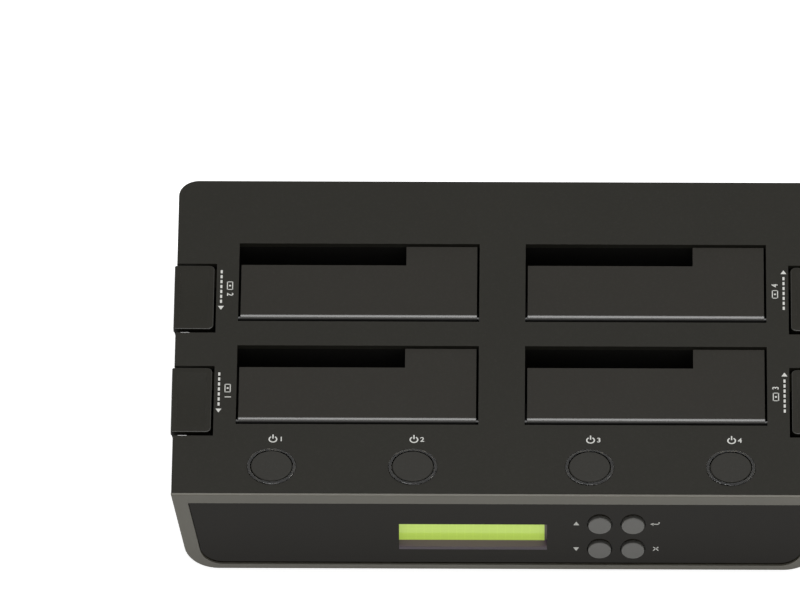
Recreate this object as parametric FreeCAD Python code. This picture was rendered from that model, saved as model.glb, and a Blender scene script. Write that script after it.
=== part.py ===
"""Four-bay drive duplicator: a low box with four spring-flap drive bays in its top.

Millimetres.  +X is to the right, +Y is to the back, +Z is up.  The origin is at the middle of the
footprint, on the surface that the rubber feet stand on.  Bay 1 is front left, 2 is rear left,
3 is front right and 4 is rear right.
"""
import FreeCAD, Part
import math
import os

Vector = FreeCAD.Vector

# --- body ---------------------------------------------------------------------------------
side_margin = 27.5            # side of the top surface to a bay's opening
front_margin = 42.5           # front face to the front row of bays
rear_margin = 38.7            # rear row of bays to the rear face
shell_height = 47.0           # top surface to the underside of the hull
foot_height = 3.5             # what the feet lift the hull by
side_lean = 9.2               # degrees that each side slants inward on its way down
belly_radius = 15.0           # along the two bottom edges
rear_corner_radius = 9.0      # in plan
shell_wall = 2.2
cover_plate = 2.2
cover_skirt = 4.4
cover_edge_round = 0.8
seam_gap = 0.2                # between shells that meet at a visible seam

# --- front bezel and glossy panel ------------------------------------------------------------
bezel_depth = 5.0
bezel_lip = 1.2               # what stands in front of the cover's edge
band_top = 5.4
band_side = 6.8
band_bottom = 3.2
panel_corner_radius = 10.0
panel_recess = 0.8
panel_plate = 2.0
panel_ledge = 2.6             # how far the bezel reaches in behind the panel
panel_gap = 0.25
bezel_round = 0.5
panel_post_diameter = 4.0
panel_post_edge = 0.6         # board left outside a post
panel_post_bore = 4.5

# --- display -----------------------------------------------------------------------------
window_width = 64.5
window_height = 14.4
window_x = -12.2
window_depth_down = 26.2      # top surface to the window's middle
glass_setback = 4.0           # face of the panel to the glass
glass_plate = 1.1
glass_rim = 1.0               # glass beyond the window on each side
glass_gap = 0.1
backlight_plate = 2.0
display_frame_round = 1.0
display_frame_border = 3.0
display_board_width = 80.0
display_board_height = 29.0

# --- menu keys -----------------------------------------------------------------------------
key_diameter = 10.0
key_hole_gap = 0.55           # all round the key
key_proud = 1.5
key_travel = 1.0
key_x = 43.0                  # left column of keys
key_pitch_x = 14.5
key_depth_down = 18.5         # top surface to the upper row of keys
key_pitch_down = 15.7
key_round = 0.5
key_flange = 1.2
key_flange_rim = 1.0
key_stem_diameter = 4.0
key_stem_length = 1.2
key_board_width = 34.0
key_board_height = 30.0

# --- power buttons ---------------------------------------------------------------------------
button_diameter = 18.0
button_gap = 0.35             # all round, inside the clear ring
button_travel = 1.5
button_setback = 17.2         # front face to the buttons' middle
button_outer_offset = 36.9    # outward from the middle of a column of bays
button_inner_offset = 24.6    # inward from it
button_proud = 0.5
button_round = 0.6
button_stem_length = 2.0
button_flange = 1.0
button_flange_rim = 1.6
button_stem_diameter = 5.0
ring_wall = 1.35
ring_proud = 0.35
ring_fit = 0.1
ring_round = 0.3
ring_flange = 1.0
ring_flange_rim = 1.5
button_board_setback = 14.0     # front face to the board's near edge
button_board_depth = 13.0
button_board_margin = 15.0

# --- tact switches under the keys and buttons ---------------------------------------------------
switch_size = 6.0
switch_height = 2.5
plunger_diameter = 3.4
plunger_height = 0.8
press_reserve = 0.15          # left between stem and plunger at full travel

# --- drive bays -----------------------------------------------------------------------------
bay_width = 106.0
bay_depth = 47.4
bay_column_gap = 20.2         # between the openings of the two columns
bay_row_gap = 14.6            # between the openings of the two rows
liner_wall = 1.5
drive_floor_depth = 37.0      # top surface to where a drive's end rests
drive_floor_plate = 1.8
small_drive_notch_width = 73.7
small_drive_notch_depth = 12.4

# --- flaps -----------------------------------------------------------------------------------
flap_recess = 0.9
flap_plate = 2.0
flap_side_gap = 1.1
flap_rear_gap = 1.0
flap_barrel_diameter = 5.6
flap_front_gap = 2.2          # dark slot between the cover and the barrel
flap_rib = 1.2
flap_rib_height = 1.8
flap_rib_end = 8.0            # bare margin towards the free edge
flap_ribs = 5
pin_diameter = 2.0
pin_clearance = 0.05
pin_boss_diameter = 6.4
pin_boss_length = 2.4
spring_length = 5.0
spring_wire = 0.6
spring_hood = 0.7             # barrel left over the spring
spring_end_inset = 12.0
spring_leg = 7.0
spring_fit = 0.1
spring_leg_share = 0.45       # leg's radius as a share of the wire, so it sinks into the coil

# --- eject levers -----------------------------------------------------------------------------
lever_length = 38.5           # along the side
lever_reach = 17.6            # from the outer edge inward
lever_proud = 0.8             # beyond the side of the cover
lever_offset = -9.1           # lever's middle from its bay's middle, towards the front
lever_recess = 0.2
lever_plate = 2.2
lever_lip = 5.0
lever_corner_radius = 2.4
lever_dish = 0.5
lever_dish_margin = 2.5
lever_outer_round = 0.8
lever_edge_round = 0.4
lever_arm_root = 9.0
lever_rear_gap = 1.0
lever_inner_gap = 1.0
lever_front_gap = 2.4
lever_pin_inset = 22.0        # side of the body to the pin
lever_pin_depth = 10.0
lever_pin_diameter = 3.0
lever_boss_diameter = 7.0
lever_arm = 3.0
lever_arm_width = 11.0
finger_width = 8.0
finger_setback = 6.2          # rear wall of the bay to the finger's middle
finger_reach = 5.0            # how far its tip lies inside the bay
finger_thickness = 2.2
finger_slot_gap = 0.5
finger_sweep = 9.5            # how far the tip swings inward before it is clear of the drive floor
lever_slot_drop = 8.0         # pin to the top of the slot in the liner's wall
finger_drop = 3.0             # its tip's middle under the drive floor's surface
elbow_rise = 3.5              # elbow above the tip
elbow_outset = 9.6            # elbow outside the liner
lever_spring_length = 5.0
lever_spring_wire = 0.8
pocket_inset = 5.9            # upright wall of the finger pocket, in from the side
pocket_wall = 1.8
pocket_sill_depth = 12.4      # top surface to the top of that wall
ear_plate = 3.0
seat_gap = 0.3                # between a moving piece and the seat that it rests on

# --- SATA connectors and boards -----------------------------------------------------------------
connector_width = 42.6
connector_depth = 5.6
connector_height = 9.2
connector_inset = 38.5        # left wall of the bay to the connector's middle
connector_tongue = 1.2
connector_tongue_rise = 4.6
connector_slot_gap = 0.5
drive_contact_setback = 6.2   # rear wall of the bay to the connector's middle
bay_board_width = 58.0
bay_board_depth = 16.0
bay_board_gap = 0.5
bay_board_lift = 1.6
board_thickness = 1.6
main_board_width = 200.0
main_board_depth = 24.0
main_board_lift = 6.0
main_board_setback = 1.0      # inside of the rear wall to the board
ribbon_width = 10.0
ribbon_plate = 0.5
ribbon_clearance = 0.4
ribbon_shift = 10.0           # to either side of a column's connectors
ribbon_overlap = 5.0          # how far a ribbon runs in under the main board
panel_ribbon_width = 4.0

# --- sockets and switch in the rear wall ---------------------------------------------------------
socket_reach = 0.6            # past the outer face of the rear wall
socket_gap = 0.25
inlet_from_end = 12.0         # left end of the main board to the inlet's middle
inlet_width = 9.4
inlet_height = 11.0
inlet_length = 14.2
inlet_bore = 6.4
inlet_bore_depth = 9.5
inlet_pin = 2.5
usb_from_end = 60.0           # right end of the main board to the socket's middle
usb_width = 12.0
usb_height = 11.0
usb_length = 16.0
usb_shell = 0.6
usb_chamfer = 2.0
usb_room = 9.0
usb_tongue_width = 5.6
usb_tongue_height = 3.2
esata_from_end = 36.0
esata_width = 14.6
esata_height = 6.6
esata_length = 13.0
esata_room = 7.0
esata_tongue_width = 8.4
esata_tongue_height = 1.2
rocker_from_end = 42.0        # left end of the main board to the switch's middle
rocker_height_down = 22.0
rocker_cutout_width = 19.2
rocker_cutout_height = 12.9
rocker_flange_width = 21.0
rocker_flange_height = 15.0
rocker_flange_plate = 1.8
rocker_flange_bevel = 0.6
rocker_body_length = 13.0
rocker_frame_wall = 1.6
rocker_gap = 0.3
rocker_swing = 10.0           # from the middle to either side
rocker_axle_diameter = 2.4
rocker_axle_depth = 5.0
rocker_proud = 0.6
rocker_dish = 1.0
rocker_root = 3.0

# --- posts, screws and feet ----------------------------------------------------------------------
post_diameter = 7.5
front_post_gap = 9.5          # front row of bays to the middle of the front posts
rear_post_gap = 20.1          # rear row of bays to the middle of the rear posts
post_side_inset = 27.6        # side of the top surface to the middle of the outer posts
hull_post_height = 8.0
screw_diameter = 3.0
screw_head_diameter = 5.6
screw_head_height = 2.0
screw_grip = 12.0
screw_clearance = 0.05
screw_recess = 0.6
board_post_diameter = 5.0
panel_screw_diameter = 2.0
panel_screw_head_diameter = 3.8
panel_screw_head_height = 1.4
panel_screw_grip = 5.0
foot_diameter = 13.0
foot_socket = 1.0
foot_round = 1.0
foot_side_inset = 43.6
foot_end_inset = 20.0

# --- vents ---------------------------------------------------------------------------------------
vent_width = 2.4
vent_length = 26.0
vent_pitch = 6.0
vent_count = 9
rear_vent_count = 12
rear_vent_height = 16.0
rear_vent_pitch = 5.0

# --- placing ---------------------------------------------------------------------------------------
top_z = foot_height + shell_height
lean = math.tan(math.radians(side_lean))
bay_column_x = (bay_column_gap + bay_width) / 2
half_width = bay_column_x + bay_width / 2 + side_margin
bay_row_setback = front_margin + bay_depth / 2
bay_row_pitch = bay_depth + bay_row_gap
body_depth = front_margin + bay_depth + bay_row_pitch + rear_margin
button_columns = [
    -bay_column_x - button_outer_offset,
    -bay_column_x + button_inner_offset,
    bay_column_x - button_inner_offset,
    bay_column_x + button_outer_offset,
]
key_columns = (key_x, key_x + key_pitch_x)
key_depths_down = (key_depth_down, key_depth_down + key_pitch_down)
main_board_half = main_board_width / 2
inlet_x = inlet_from_end - main_board_half
rocker_x = rocker_from_end - main_board_half
usb_x = main_board_half - usb_from_end
esata_x = main_board_half - esata_from_end
rocker_tilt = math.radians(rocker_swing)
rocker_radius = rocker_axle_depth + rocker_flange_plate + rocker_proud
rocker_frame_inside = rocker_cutout_width / 2 - socket_gap - rocker_frame_wall
rocker_tip_room = rocker_frame_inside - rocker_gap - rocker_radius * math.sin(rocker_tilt)
rocker_half = rocker_tip_room / math.cos(rocker_tilt)
front_reach = key_proud - panel_recess
rear_reach = rocker_radius * math.cos(rocker_tilt) + rocker_half * math.sin(rocker_tilt) - rocker_axle_depth
front_y = (front_reach - body_depth - rear_reach) / 2
rear_y = front_y + body_depth
side_cos = math.cos(math.radians(side_lean))
floor_z = foot_height + shell_wall          # inside of the hull's floor
slip = 0.02                                 # keeps the two forms that make the hull off each other


def below(depth):
    """Height of the plane that lies this far below the top surface."""
    return top_z - depth


def behind(setback):
    """Place of the plane that lies this far behind the front face."""
    return front_y + setback


def side_x(z, inset=0.0):
    """Half the body's width at height z, with inset measured square to the slanted side."""
    return half_width - (top_z - z) * lean - inset / side_cos


# --- basic forms -------------------------------------------------------------------------------
def box(x0, x1, y0, y1, z0, z1):
    return Part.makeBox(x1 - x0, y1 - y0, z1 - z0, Vector(x0, y0, z0))


def block(x, y, width, depth, z0, z1):
    return box(x - width / 2, x + width / 2, y - depth / 2, y + depth / 2, z0, z1)


def upright(x, y, radius, z0, z1):
    return Part.makeCylinder(radius, z1 - z0, Vector(x, y, z0))


def rod_x(y, z, radius, x0, x1):
    return Part.makeCylinder(radius, x1 - x0, Vector(x0, y, z), Vector(1, 0, 0))


def rod_y(x, z, radius, y0, y1):
    return Part.makeCylinder(radius, y1 - y0, Vector(x, y0, z), Vector(0, 1, 0))


def rod_z(x, y, radius, z0, z1):
    return upright(x, y, radius, z0, z1)


def polygon(points):
    return Part.Face(Part.makePolygon(points + [points[0]]))


def plate_y(outline, y0, y1):
    """Extrude an outline of (x, z) corners from y0 to y1."""
    face = polygon([Vector(x, y0, z) for x, z in outline])
    return face.extrude(Vector(0, y1 - y0, 0))


def plate_z(outline, z0, z1):
    """Extrude an outline of (x, y) corners from z0 to z1."""
    face = polygon([Vector(x, y, z0) for x, y in outline])
    return face.extrude(Vector(0, 0, z1 - z0))


def edges_along(shape, axis, test):
    """Straight edges parallel to an axis whose middle passes the test."""
    found = []
    for edge in shape.Edges:
        run = edge.lastVertex().Point.sub(edge.firstVertex().Point)
        middle = edge.CenterOfMass
        if run.Length > 0 and abs(abs(run.dot(axis)) / run.Length - 1) < 1e-6 and test(middle):
            found.append(edge)
    return found


def soften(shape, radius, axis, test):
    return shape.makeFillet(radius, edges_along(shape, axis, test))


def fuse(shapes):
    """Join shapes into one solid."""
    joined = shapes[0].fuse(shapes[1:]) if len(shapes) > 1 else shapes[0]
    return joined.removeSplitter()


def cut(shape, tools):
    return shape.cut(Part.makeCompound(tools)) if tools else shape


def mirror(shape):
    return shape.mirror(Vector(0, 0, 0), Vector(1, 0, 0))


def on_side(shape, side):
    """A form drawn for the left side, moved to the side asked for."""
    return shape if side < 0 else mirror(shape)


along_x = Vector(1, 0, 0)
along_y = Vector(0, 1, 0)
along_z = Vector(0, 0, 1)

# --- where the bays are: number, column, row and the side of the box that its lever is on --------------
bays = {}
for column_side, first_number in ((-1, 1), (1, 3)):
    for row in (0, 1):
        bays[first_number + row] = (
            column_side * bay_column_x,
            behind(bay_row_setback + row * bay_row_pitch),
            column_side,
        )


# --- body forms ----------------------------------------------------------------------------------
def belly_prism(inset, z_high, y0, y1):
    """The body's slanted section with its two rounded bottom edges, drawn out along the depth."""
    z_low = foot_height + inset
    top_half = side_x(z_high, inset)
    low_half = side_x(z_low, inset)
    prism = plate_y([(-top_half, z_high), (-low_half, z_low), (low_half, z_low), (top_half, z_high)], y0, y1)
    return soften(prism, belly_radius - inset, along_y, lambda p: abs(p.z - z_low) < 1e-4)


def plan_wire(inset, y0, z, grow):
    half = side_x(z, inset) + grow
    rear = rear_y - inset
    radius = rear_corner_radius - inset
    turn = radius * (1 - math.sqrt(0.5))
    a = Vector(-half, y0, z)
    b = Vector(-half, rear - radius, z)
    b_mid = Vector(-half + turn, rear - turn, z)
    c = Vector(-half + radius, rear, z)
    d = Vector(half - radius, rear, z)
    d_mid = Vector(half - turn, rear - turn, z)
    e = Vector(half, rear - radius, z)
    f = Vector(half, y0, z)
    return Part.Wire([
        Part.makeLine(a, b),
        Part.Arc(b, b_mid, c).toShape(),
        Part.makeLine(c, d),
        Part.Arc(d, d_mid, e).toShape(),
        Part.makeLine(e, f),
        Part.makeLine(f, a),
    ])


def rim_block(inset, y0, z0, z1, grow=0.0):
    """Slanted sides with rounded rear corners, between two heights."""
    wires = [plan_wire(inset, y0, z, grow) for z in (z0, z1)]
    return Part.makeLoft(wires, True, True)


def body_block(inset, y0, z1):
    """The whole hull form: slanted sides, rounded belly and rounded rear corners."""
    low = foot_height + inset
    belly = belly_prism(inset, z1, y0, rear_y - inset)
    return belly.common(rim_block(inset, y0 - 1, low - 1, z1 + 1, slip))


# --- places shared by several pieces ----------------------------------------------------------------
pocket_x = half_width - pocket_inset
hull_front_y = behind(bezel_depth)
hull_top_z = below(cover_skirt)
post_top_z = floor_z + hull_post_height
screw_head_z = foot_height + screw_recess
post_x = half_width - post_side_inset
front_post_y = behind(front_margin - front_post_gap)
middle_post_y = behind(front_margin + bay_depth + bay_row_gap / 2)
rear_post_y = behind(body_depth - rear_margin + rear_post_gap)
posts = [(x, front_post_y) for x in (-post_x, post_x, 0.0)]
posts += [(0.0, middle_post_y), (-post_x, rear_post_y), (post_x, rear_post_y)]
feet = [
    (side * (half_width - foot_side_inset), y)
    for side in (-1, 1)
    for y in (behind(foot_end_inset), rear_y - foot_end_inset)
]
button_y = behind(button_setback)
ring_inner = button_diameter / 2 + button_gap
ring_outer = ring_inner + ring_wall
panel_front_y = behind(panel_recess)
panel_back_y = behind(panel_recess + panel_plate)
board_screw_hole = panel_screw_diameter / 2 + screw_clearance
board_post_radius = board_post_diameter / 2


def lever_span(bay_y):
    """Front and rear ends of the lever beside a bay."""
    middle = bay_y + lever_offset
    return middle - lever_length / 2, middle + lever_length / 2


def lever_notch(bay_y):
    """Front and rear ends of the notch that the lever lies in."""
    front, rear = lever_span(bay_y)
    return front - lever_front_gap, rear + lever_rear_gap


# --- hull ------------------------------------------------------------------------------------------
def pocket_casing(bay_y, side):
    """Walls round the finger pocket under a lever, before they are trimmed to the hull's outside."""
    front, rear = lever_notch(bay_y)
    casing = box(-half_width, -pocket_x + pocket_wall, front - pocket_wall, rear + pocket_wall,
                 foot_height, hull_top_z)
    return on_side(casing, side)


def pocket_opening(bay_y, side):
    front, rear = lever_notch(bay_y)
    inner_x = -pocket_x + pocket_wall + slip
    opening = box(-half_width - lever_proud - 1, -pocket_x, front, rear, foot_height - 1, top_z)
    sill = box(-pocket_x - 1, inner_x, front, rear, below(pocket_sill_depth), top_z)
    return on_side(opening.fuse(sill), side)


def hull_post(x, y):
    return upright(x, y, post_diameter / 2, floor_z - shell_wall / 2, post_top_z)


def hull_post_bore(x, y):
    head_room = screw_head_diameter / 2 + panel_gap
    bore = upright(x, y, screw_diameter / 2 + screw_clearance, foot_height, post_top_z + 1)
    return bore.fuse(upright(x, y, head_room, foot_height - 1, screw_head_z + screw_head_height))


def floor_vents():
    slots = []
    for x, y, side in bays.values():
        middle = y - bay_depth / 2 + vent_length / 2 + liner_wall
        for index in range(vent_count):
            vent_x = x + (index - (vent_count - 1) / 2) * vent_pitch
            slots.append(block(vent_x, middle, vent_width, vent_length, foot_height - 1, floor_z + 1))
    return slots


def rear_vents():
    middle = (len(rear_vent_places) - 1) / 2
    z = below(rocker_height_down)
    return [
        box(x - vent_width / 2, x + vent_width / 2, rear_y - shell_wall - 1, rear_y + 1,
            z - rear_vent_height / 2, z + rear_vent_height / 2)
        for x in rear_vent_places
    ]


rear_vent_places = [(i - (rear_vent_count - 1) / 2) * rear_vent_pitch for i in range(rear_vent_count)]
main_board_z = floor_z + main_board_lift
main_board_top = main_board_z + board_thickness
sockets = {
    "inlet": (inlet_x, inlet_width, inlet_height, inlet_length),
    "usb": (usb_x, usb_width, usb_height, usb_length),
    "esata": (esata_x, esata_width, esata_height, esata_length),
}


def socket_windows():
    windows = [
        box(x - width / 2 - socket_gap, x + width / 2 + socket_gap, rear_y - shell_wall - 1, rear_y + 1,
            main_board_top - socket_gap, main_board_top + height + socket_gap)
        for x, width, height, length in sockets.values()
    ]
    windows.append(
        box(rocker_x - rocker_cutout_width / 2, rocker_x + rocker_cutout_width / 2,
            rear_y - shell_wall - 1, rear_y + 1,
            below(rocker_height_down) - rocker_cutout_height / 2,
            below(rocker_height_down) + rocker_cutout_height / 2))
    return windows


def hull():
    outside = body_block(0, hull_front_y, hull_top_z)
    inside = body_block(shell_wall, hull_front_y - 1, top_z)
    shell = outside.cut(inside)
    casings = [pocket_casing(y, side).common(outside) for x, y, side in bays.values()]
    standing = [hull_post(x, y) for x, y in posts]
    standing += [
        upright(x, y, board_post_radius, floor_z - shell_wall / 2, z)
        for x, y, z in floor_board_posts
    ]
    body = shell.fuse(casings + standing)
    tools = [pocket_opening(y, side) for x, y, side in bays.values()]
    tools += [hull_post_bore(x, y) for x, y in posts]
    tools += [
        upright(x, y, board_screw_hole, z - panel_screw_grip, z + 1) for x, y, z in blind_board_posts
    ]
    tools += [upright(x, y, foot_diameter / 2 + socket_gap, foot_height - 1, foot_height + foot_socket)
              for x, y in feet]
    return cut(body, tools + floor_vents() + rear_vents() + socket_windows()).removeSplitter()


# --- boards on the hull's floor --------------------------------------------------------------------
bay_board_z = floor_z + bay_board_lift
main_board_rear = rear_y - shell_wall - main_board_setback
main_board_front = main_board_rear - main_board_depth
main_board_screws = [
    (side * (main_board_half - board_post_radius - bay_board_gap), main_board_front + board_post_diameter)
    for side in (-1, 1)
]


def connector_place(bay_x, bay_y):
    """Middle of a bay's connector, seen from above."""
    return bay_x - bay_width / 2 + connector_inset, bay_y + bay_depth / 2 - drive_contact_setback


def bay_board_span(bay_y):
    rear = bay_y + bay_depth / 2 - bay_board_gap
    return rear - bay_board_depth, rear


def bay_board_posts(bay_x, bay_y):
    middle = connector_place(bay_x, bay_y)[0]
    front, rear = bay_board_span(bay_y)
    reach = bay_board_width / 2 - board_post_diameter
    return [(middle - reach, front + board_post_radius), (middle + reach, front + board_post_radius)]


ribbon_runs = [
    (connector_place(bay_x, bay_y)[0] + (ribbon_shift if bay_y > middle_post_y else -ribbon_shift),
     bay_board_span(bay_y)[0] + board_post_radius)
    for bay_x, bay_y, side in bays.values()
]
blind_board_posts = [(x, y, main_board_z) for x, y in main_board_screws]
floor_board_posts = blind_board_posts + [
    (post_x_place, post_y_place, bay_board_z)
    for bay_x, bay_y, side in bays.values()
    for post_x_place, post_y_place in bay_board_posts(bay_x, bay_y)
]


# --- top cover ---------------------------------------------------------------------------------------
def lever_cut(bay_y, side):
    front, rear = lever_notch(bay_y)
    inner = -half_width - lever_proud + lever_reach + lever_inner_gap
    return on_side(box(-half_width - 1, inner, front, rear, hull_top_z - 1, top_z + 1), side)


def cover_post_top(x, y):
    return upright(x, y, post_diameter / 2, post_top_z, below(cover_plate / 2))


button_board_top = below(
    cover_plate + ring_flange + seat_gap + button_flange + button_stem_length
    + button_travel + press_reserve + plunger_height + switch_height
)
button_board_span = (behind(button_board_setback), behind(button_board_setback + button_board_depth))
button_board_middle = sum(button_board_span) / 2
button_board_posts = [
    ((left + right) / 2, button_board_middle)
    for left, right in zip(button_columns, button_columns[1:])
]


def top_cover():
    front = behind(bezel_lip + seam_gap)
    plate = rim_block(0, front, hull_top_z, top_z)
    rim = [
        edge for edge in plate.Edges
        if abs(edge.BoundBox.ZMin - top_z) < 1e-4 and edge.BoundBox.YMax > front + 1e-3
    ]
    plate = plate.makeFillet(cover_edge_round, rim)
    plate = plate.cut(rim_block(shell_wall, front - 1, hull_top_z - 1, below(cover_plate)))
    standing = [cover_post_top(x, y) for x, y in posts]
    standing += [
        upright(x, y, board_post_radius, button_board_top, below(cover_plate / 2))
        for x, y in button_board_posts
    ]
    cover = plate.fuse(standing)
    tools = [box(-half_width - 1, half_width + 1, front - 1, hull_front_y, hull_top_z - 1, below(cover_plate))]
    for x, y, side in bays.values():
        tools.append(block(x, y, bay_width, bay_depth, hull_top_z - 1, top_z + 1))
        tools.append(lever_cut(y, side))
    tools += [upright(x, button_y, ring_outer + ring_fit, below(cover_plate) - 1, top_z + 1)
              for x in button_columns]
    tools += [upright(x, y, screw_diameter / 2 + screw_clearance, post_top_z - 1,
                      screw_head_z + screw_head_height + screw_grip + 1) for x, y in posts]
    tools += [upright(x, y, board_screw_hole, button_board_top - 1, below(cover_plate + 1))
              for x, y in button_board_posts]
    return cut(cover, tools).removeSplitter()


# --- front bezel and panel -----------------------------------------------------------------------------
def panel_prism(grow, y0, y1):
    """The panel's outline: sharp top corners, leaning sides and rounded bottom corners."""
    z_top = below(band_top) + grow
    z_low = foot_height + band_bottom - grow
    top_half = side_x(z_top) - band_side + grow
    low_half = side_x(z_low) - band_side + grow
    prism = plate_y([(-top_half, z_top), (-low_half, z_low), (low_half, z_low), (top_half, z_top)], y0, y1)
    return soften(prism, panel_corner_radius + grow, along_y, lambda p: abs(p.z - z_low) < 1e-4)


def front_bezel():
    ring = belly_prism(0, top_z, front_y, hull_front_y)
    rim = [edge for edge in ring.Edges if edge.BoundBox.YMax < front_y + 1e-4]
    ring = ring.makeFillet(bezel_round, rim)
    rebate = box(-half_width - 1, half_width + 1, behind(bezel_lip), hull_front_y + 1, below(cover_plate), top_z + 1)
    seat = panel_prism(panel_gap, front_y - 1, panel_back_y)
    throat = panel_prism(-panel_ledge, front_y - 1, hull_front_y + 1)
    return cut(ring, [rebate, seat, throat]).removeSplitter()


window_z = below(window_depth_down)
window_half = window_width / 2
glass_front_y = panel_front_y + glass_setback
glass_back_y = glass_front_y + glass_plate
display_board_y = glass_back_y + backlight_plate
key_places = [(x, below(depth)) for depth in key_depths_down for x in key_columns]
key_middle_x = sum(key_columns) / 2
key_middle_z = below(sum(key_depths_down) / 2)
key_flange_y = panel_back_y + seat_gap
key_stem_y = key_flange_y + key_flange + key_stem_length
key_board_y = key_stem_y + key_travel + press_reserve + plunger_height + switch_height
panel_post_radius = panel_post_diameter / 2


def board_corners(x, z, width, height):
    reach_x = width / 2 - panel_post_radius - panel_post_edge
    reach_z = height / 2 - panel_post_radius - panel_post_edge
    return [(x + i * reach_x, z + j * reach_z) for i in (-1, 1) for j in (-1, 1)]


panel_posts = [
    (x, z, display_board_y)
    for x, z in board_corners(window_x, window_z, display_board_width, display_board_height)
]
panel_posts += [
    (x, z, key_board_y)
    for x, z in board_corners(key_middle_x, key_middle_z, key_board_width, key_board_height)
]


def control_panel():
    plate = panel_prism(0, panel_front_y, panel_back_y)
    standing = [rod_y(x, z, panel_post_radius, panel_back_y - panel_plate / 2, y) for x, z, y in panel_posts]
    tools = [
        box(window_x - window_half, window_x + window_half, front_y - 1, panel_back_y + 1,
            window_z - window_height / 2, window_z + window_height / 2)
    ]
    tools += [rod_y(x, z, key_diameter / 2 + key_hole_gap, front_y - 1, panel_back_y + 1) for x, z in key_places]
    tools += [rod_y(x, z, board_screw_hole, y - panel_post_bore, y + 1) for x, z, y in panel_posts]
    return cut(plate.fuse(standing), tools).removeSplitter()


# --- display ---------------------------------------------------------------------------------------------
def window_box(grow, y0, y1):
    return box(window_x - window_half - grow, window_x + window_half + grow, y0, y1,
               window_z - window_height / 2 - grow, window_z + window_height / 2 + grow)


def display_frame():
    frame = window_box(display_frame_border, panel_back_y, display_board_y)
    frame = soften(frame, display_frame_round, along_y, lambda p: True)
    return cut(frame, [window_box(0, front_y, display_board_y),
                       window_box(glass_rim + glass_gap, glass_front_y, display_board_y + 1)])


def display_glass():
    return window_box(glass_rim, glass_front_y, glass_back_y)


def display_backlight():
    return window_box(glass_rim, glass_back_y, display_board_y)


def board_y(x, z, width, height, y):
    board = box(x - width / 2, x + width / 2, y, y + board_thickness, z - height / 2, z + height / 2)
    holes = [rod_y(px, pz, board_screw_hole, y - 1, y + board_thickness + 1)
             for px, pz in board_corners(x, z, width, height)]
    return cut(board, holes)


def display_board():
    return board_y(window_x, window_z, display_board_width, display_board_height, display_board_y)


# --- menu keys ---------------------------------------------------------------------------------------------
def menu_key(x, z):
    face_y = panel_front_y - key_proud
    cap = rod_y(x, z, key_diameter / 2, face_y, key_flange_y + key_flange)
    rim = [edge for edge in cap.Edges if edge.BoundBox.YMax < face_y + 1e-4]
    cap = cap.makeFillet(key_round, rim)
    flange = rod_y(x, z, key_diameter / 2 + key_flange_rim, key_flange_y, key_flange_y + key_flange)
    stem = rod_y(x, z, key_stem_diameter / 2, key_flange_y, key_stem_y)
    return fuse([cap, flange, stem])


def key_board():
    return board_y(key_middle_x, key_middle_z, key_board_width, key_board_height, key_board_y)


def key_switches():
    half = switch_size / 2
    switches = []
    for x, z in key_places:
        can = box(x - half, x + half, key_board_y - switch_height, key_board_y, z - half, z + half)
        plunger_y = key_board_y - switch_height - plunger_height
        switches.append(fuse([can, rod_y(x, z, plunger_diameter / 2, plunger_y, key_board_y - switch_height)]))
    return Part.makeCompound(switches)


# --- power buttons ------------------------------------------------------------------------------------------
ring_low_z = below(cover_plate + ring_flange)
button_flange_top = ring_low_z - seat_gap
button_flange_low = button_flange_top - button_flange
button_stem_low = button_flange_low - button_stem_length


def power_button(x):
    radius = button_diameter / 2
    cap = upright(x, button_y, radius, button_flange_low, top_z + button_proud)
    rim = [edge for edge in cap.Edges if edge.BoundBox.ZMin > top_z + button_proud - 1e-4]
    cap = cap.makeFillet(button_round, rim)
    flange = upright(x, button_y, ring_inner + button_flange_rim, button_flange_low, button_flange_top)
    stem = upright(x, button_y, button_stem_diameter / 2, button_stem_low, button_flange_low)
    return fuse([cap, flange, stem])


def light_rings():
    rings = []
    for x in button_columns:
        sleeve = upright(x, button_y, ring_outer, ring_low_z, top_z + ring_proud)
        rim = [edge for edge in sleeve.Edges if edge.BoundBox.ZMin > top_z + ring_proud - 1e-4]
        sleeve = sleeve.makeFillet(ring_round, rim)
        flange = upright(x, button_y, ring_outer + ring_flange_rim, ring_low_z, below(cover_plate))
        bore = upright(x, button_y, ring_inner, ring_low_z - 1, top_z + 1)
        rings.append(fuse([sleeve, flange]).cut(bore))
    return Part.makeCompound(rings)


def button_board():
    reach = max(button_columns) + button_board_margin
    board = box(-reach, reach, *button_board_span, button_board_top - board_thickness, button_board_top)
    holes = [upright(x, y, board_screw_hole, button_board_top - board_thickness - 1, button_board_top + 1)
             for x, y in button_board_posts]
    return cut(board, holes)


def button_switches():
    switches = []
    for x in button_columns:
        can_top = button_board_top + switch_height
        can = block(x, button_y, switch_size, switch_size, button_board_top, can_top)
        switches.append(fuse([can, upright(x, button_y, plunger_diameter / 2, can_top, can_top + plunger_height)]))
    return Part.makeCompound(switches)


# --- bay liners -----------------------------------------------------------------------------------------------
liner_top = below(cover_plate)
drive_floor_z = below(drive_floor_depth)
barrel_radius = flap_barrel_diameter / 2
flap_axis_z = below(flap_recess + barrel_radius)
flap_axis_back = flap_front_gap + barrel_radius       # front of the opening to the axis
flap_reach = bay_depth - flap_rear_gap - flap_axis_back
flap_sweep = math.hypot(flap_reach, barrel_radius)
drive_floor_drop = flap_axis_z - drive_floor_z
drive_floor_start = flap_axis_back + math.sqrt(flap_sweep ** 2 - drive_floor_drop ** 2) + flap_rear_gap
pin_bore = pin_diameter / 2 + pin_clearance
lever_pin_x = -half_width + lever_pin_inset
lever_pin_z = below(lever_pin_depth)
lever_boss_radius = lever_boss_diameter / 2
lever_bore = lever_pin_diameter / 2 + pin_clearance
finger_tip_x = -bay_column_x - bay_width / 2 + finger_reach
finger_tip_z = drive_floor_z - finger_drop
elbow_x = -bay_column_x - bay_width / 2 - liner_wall - elbow_outset
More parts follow.
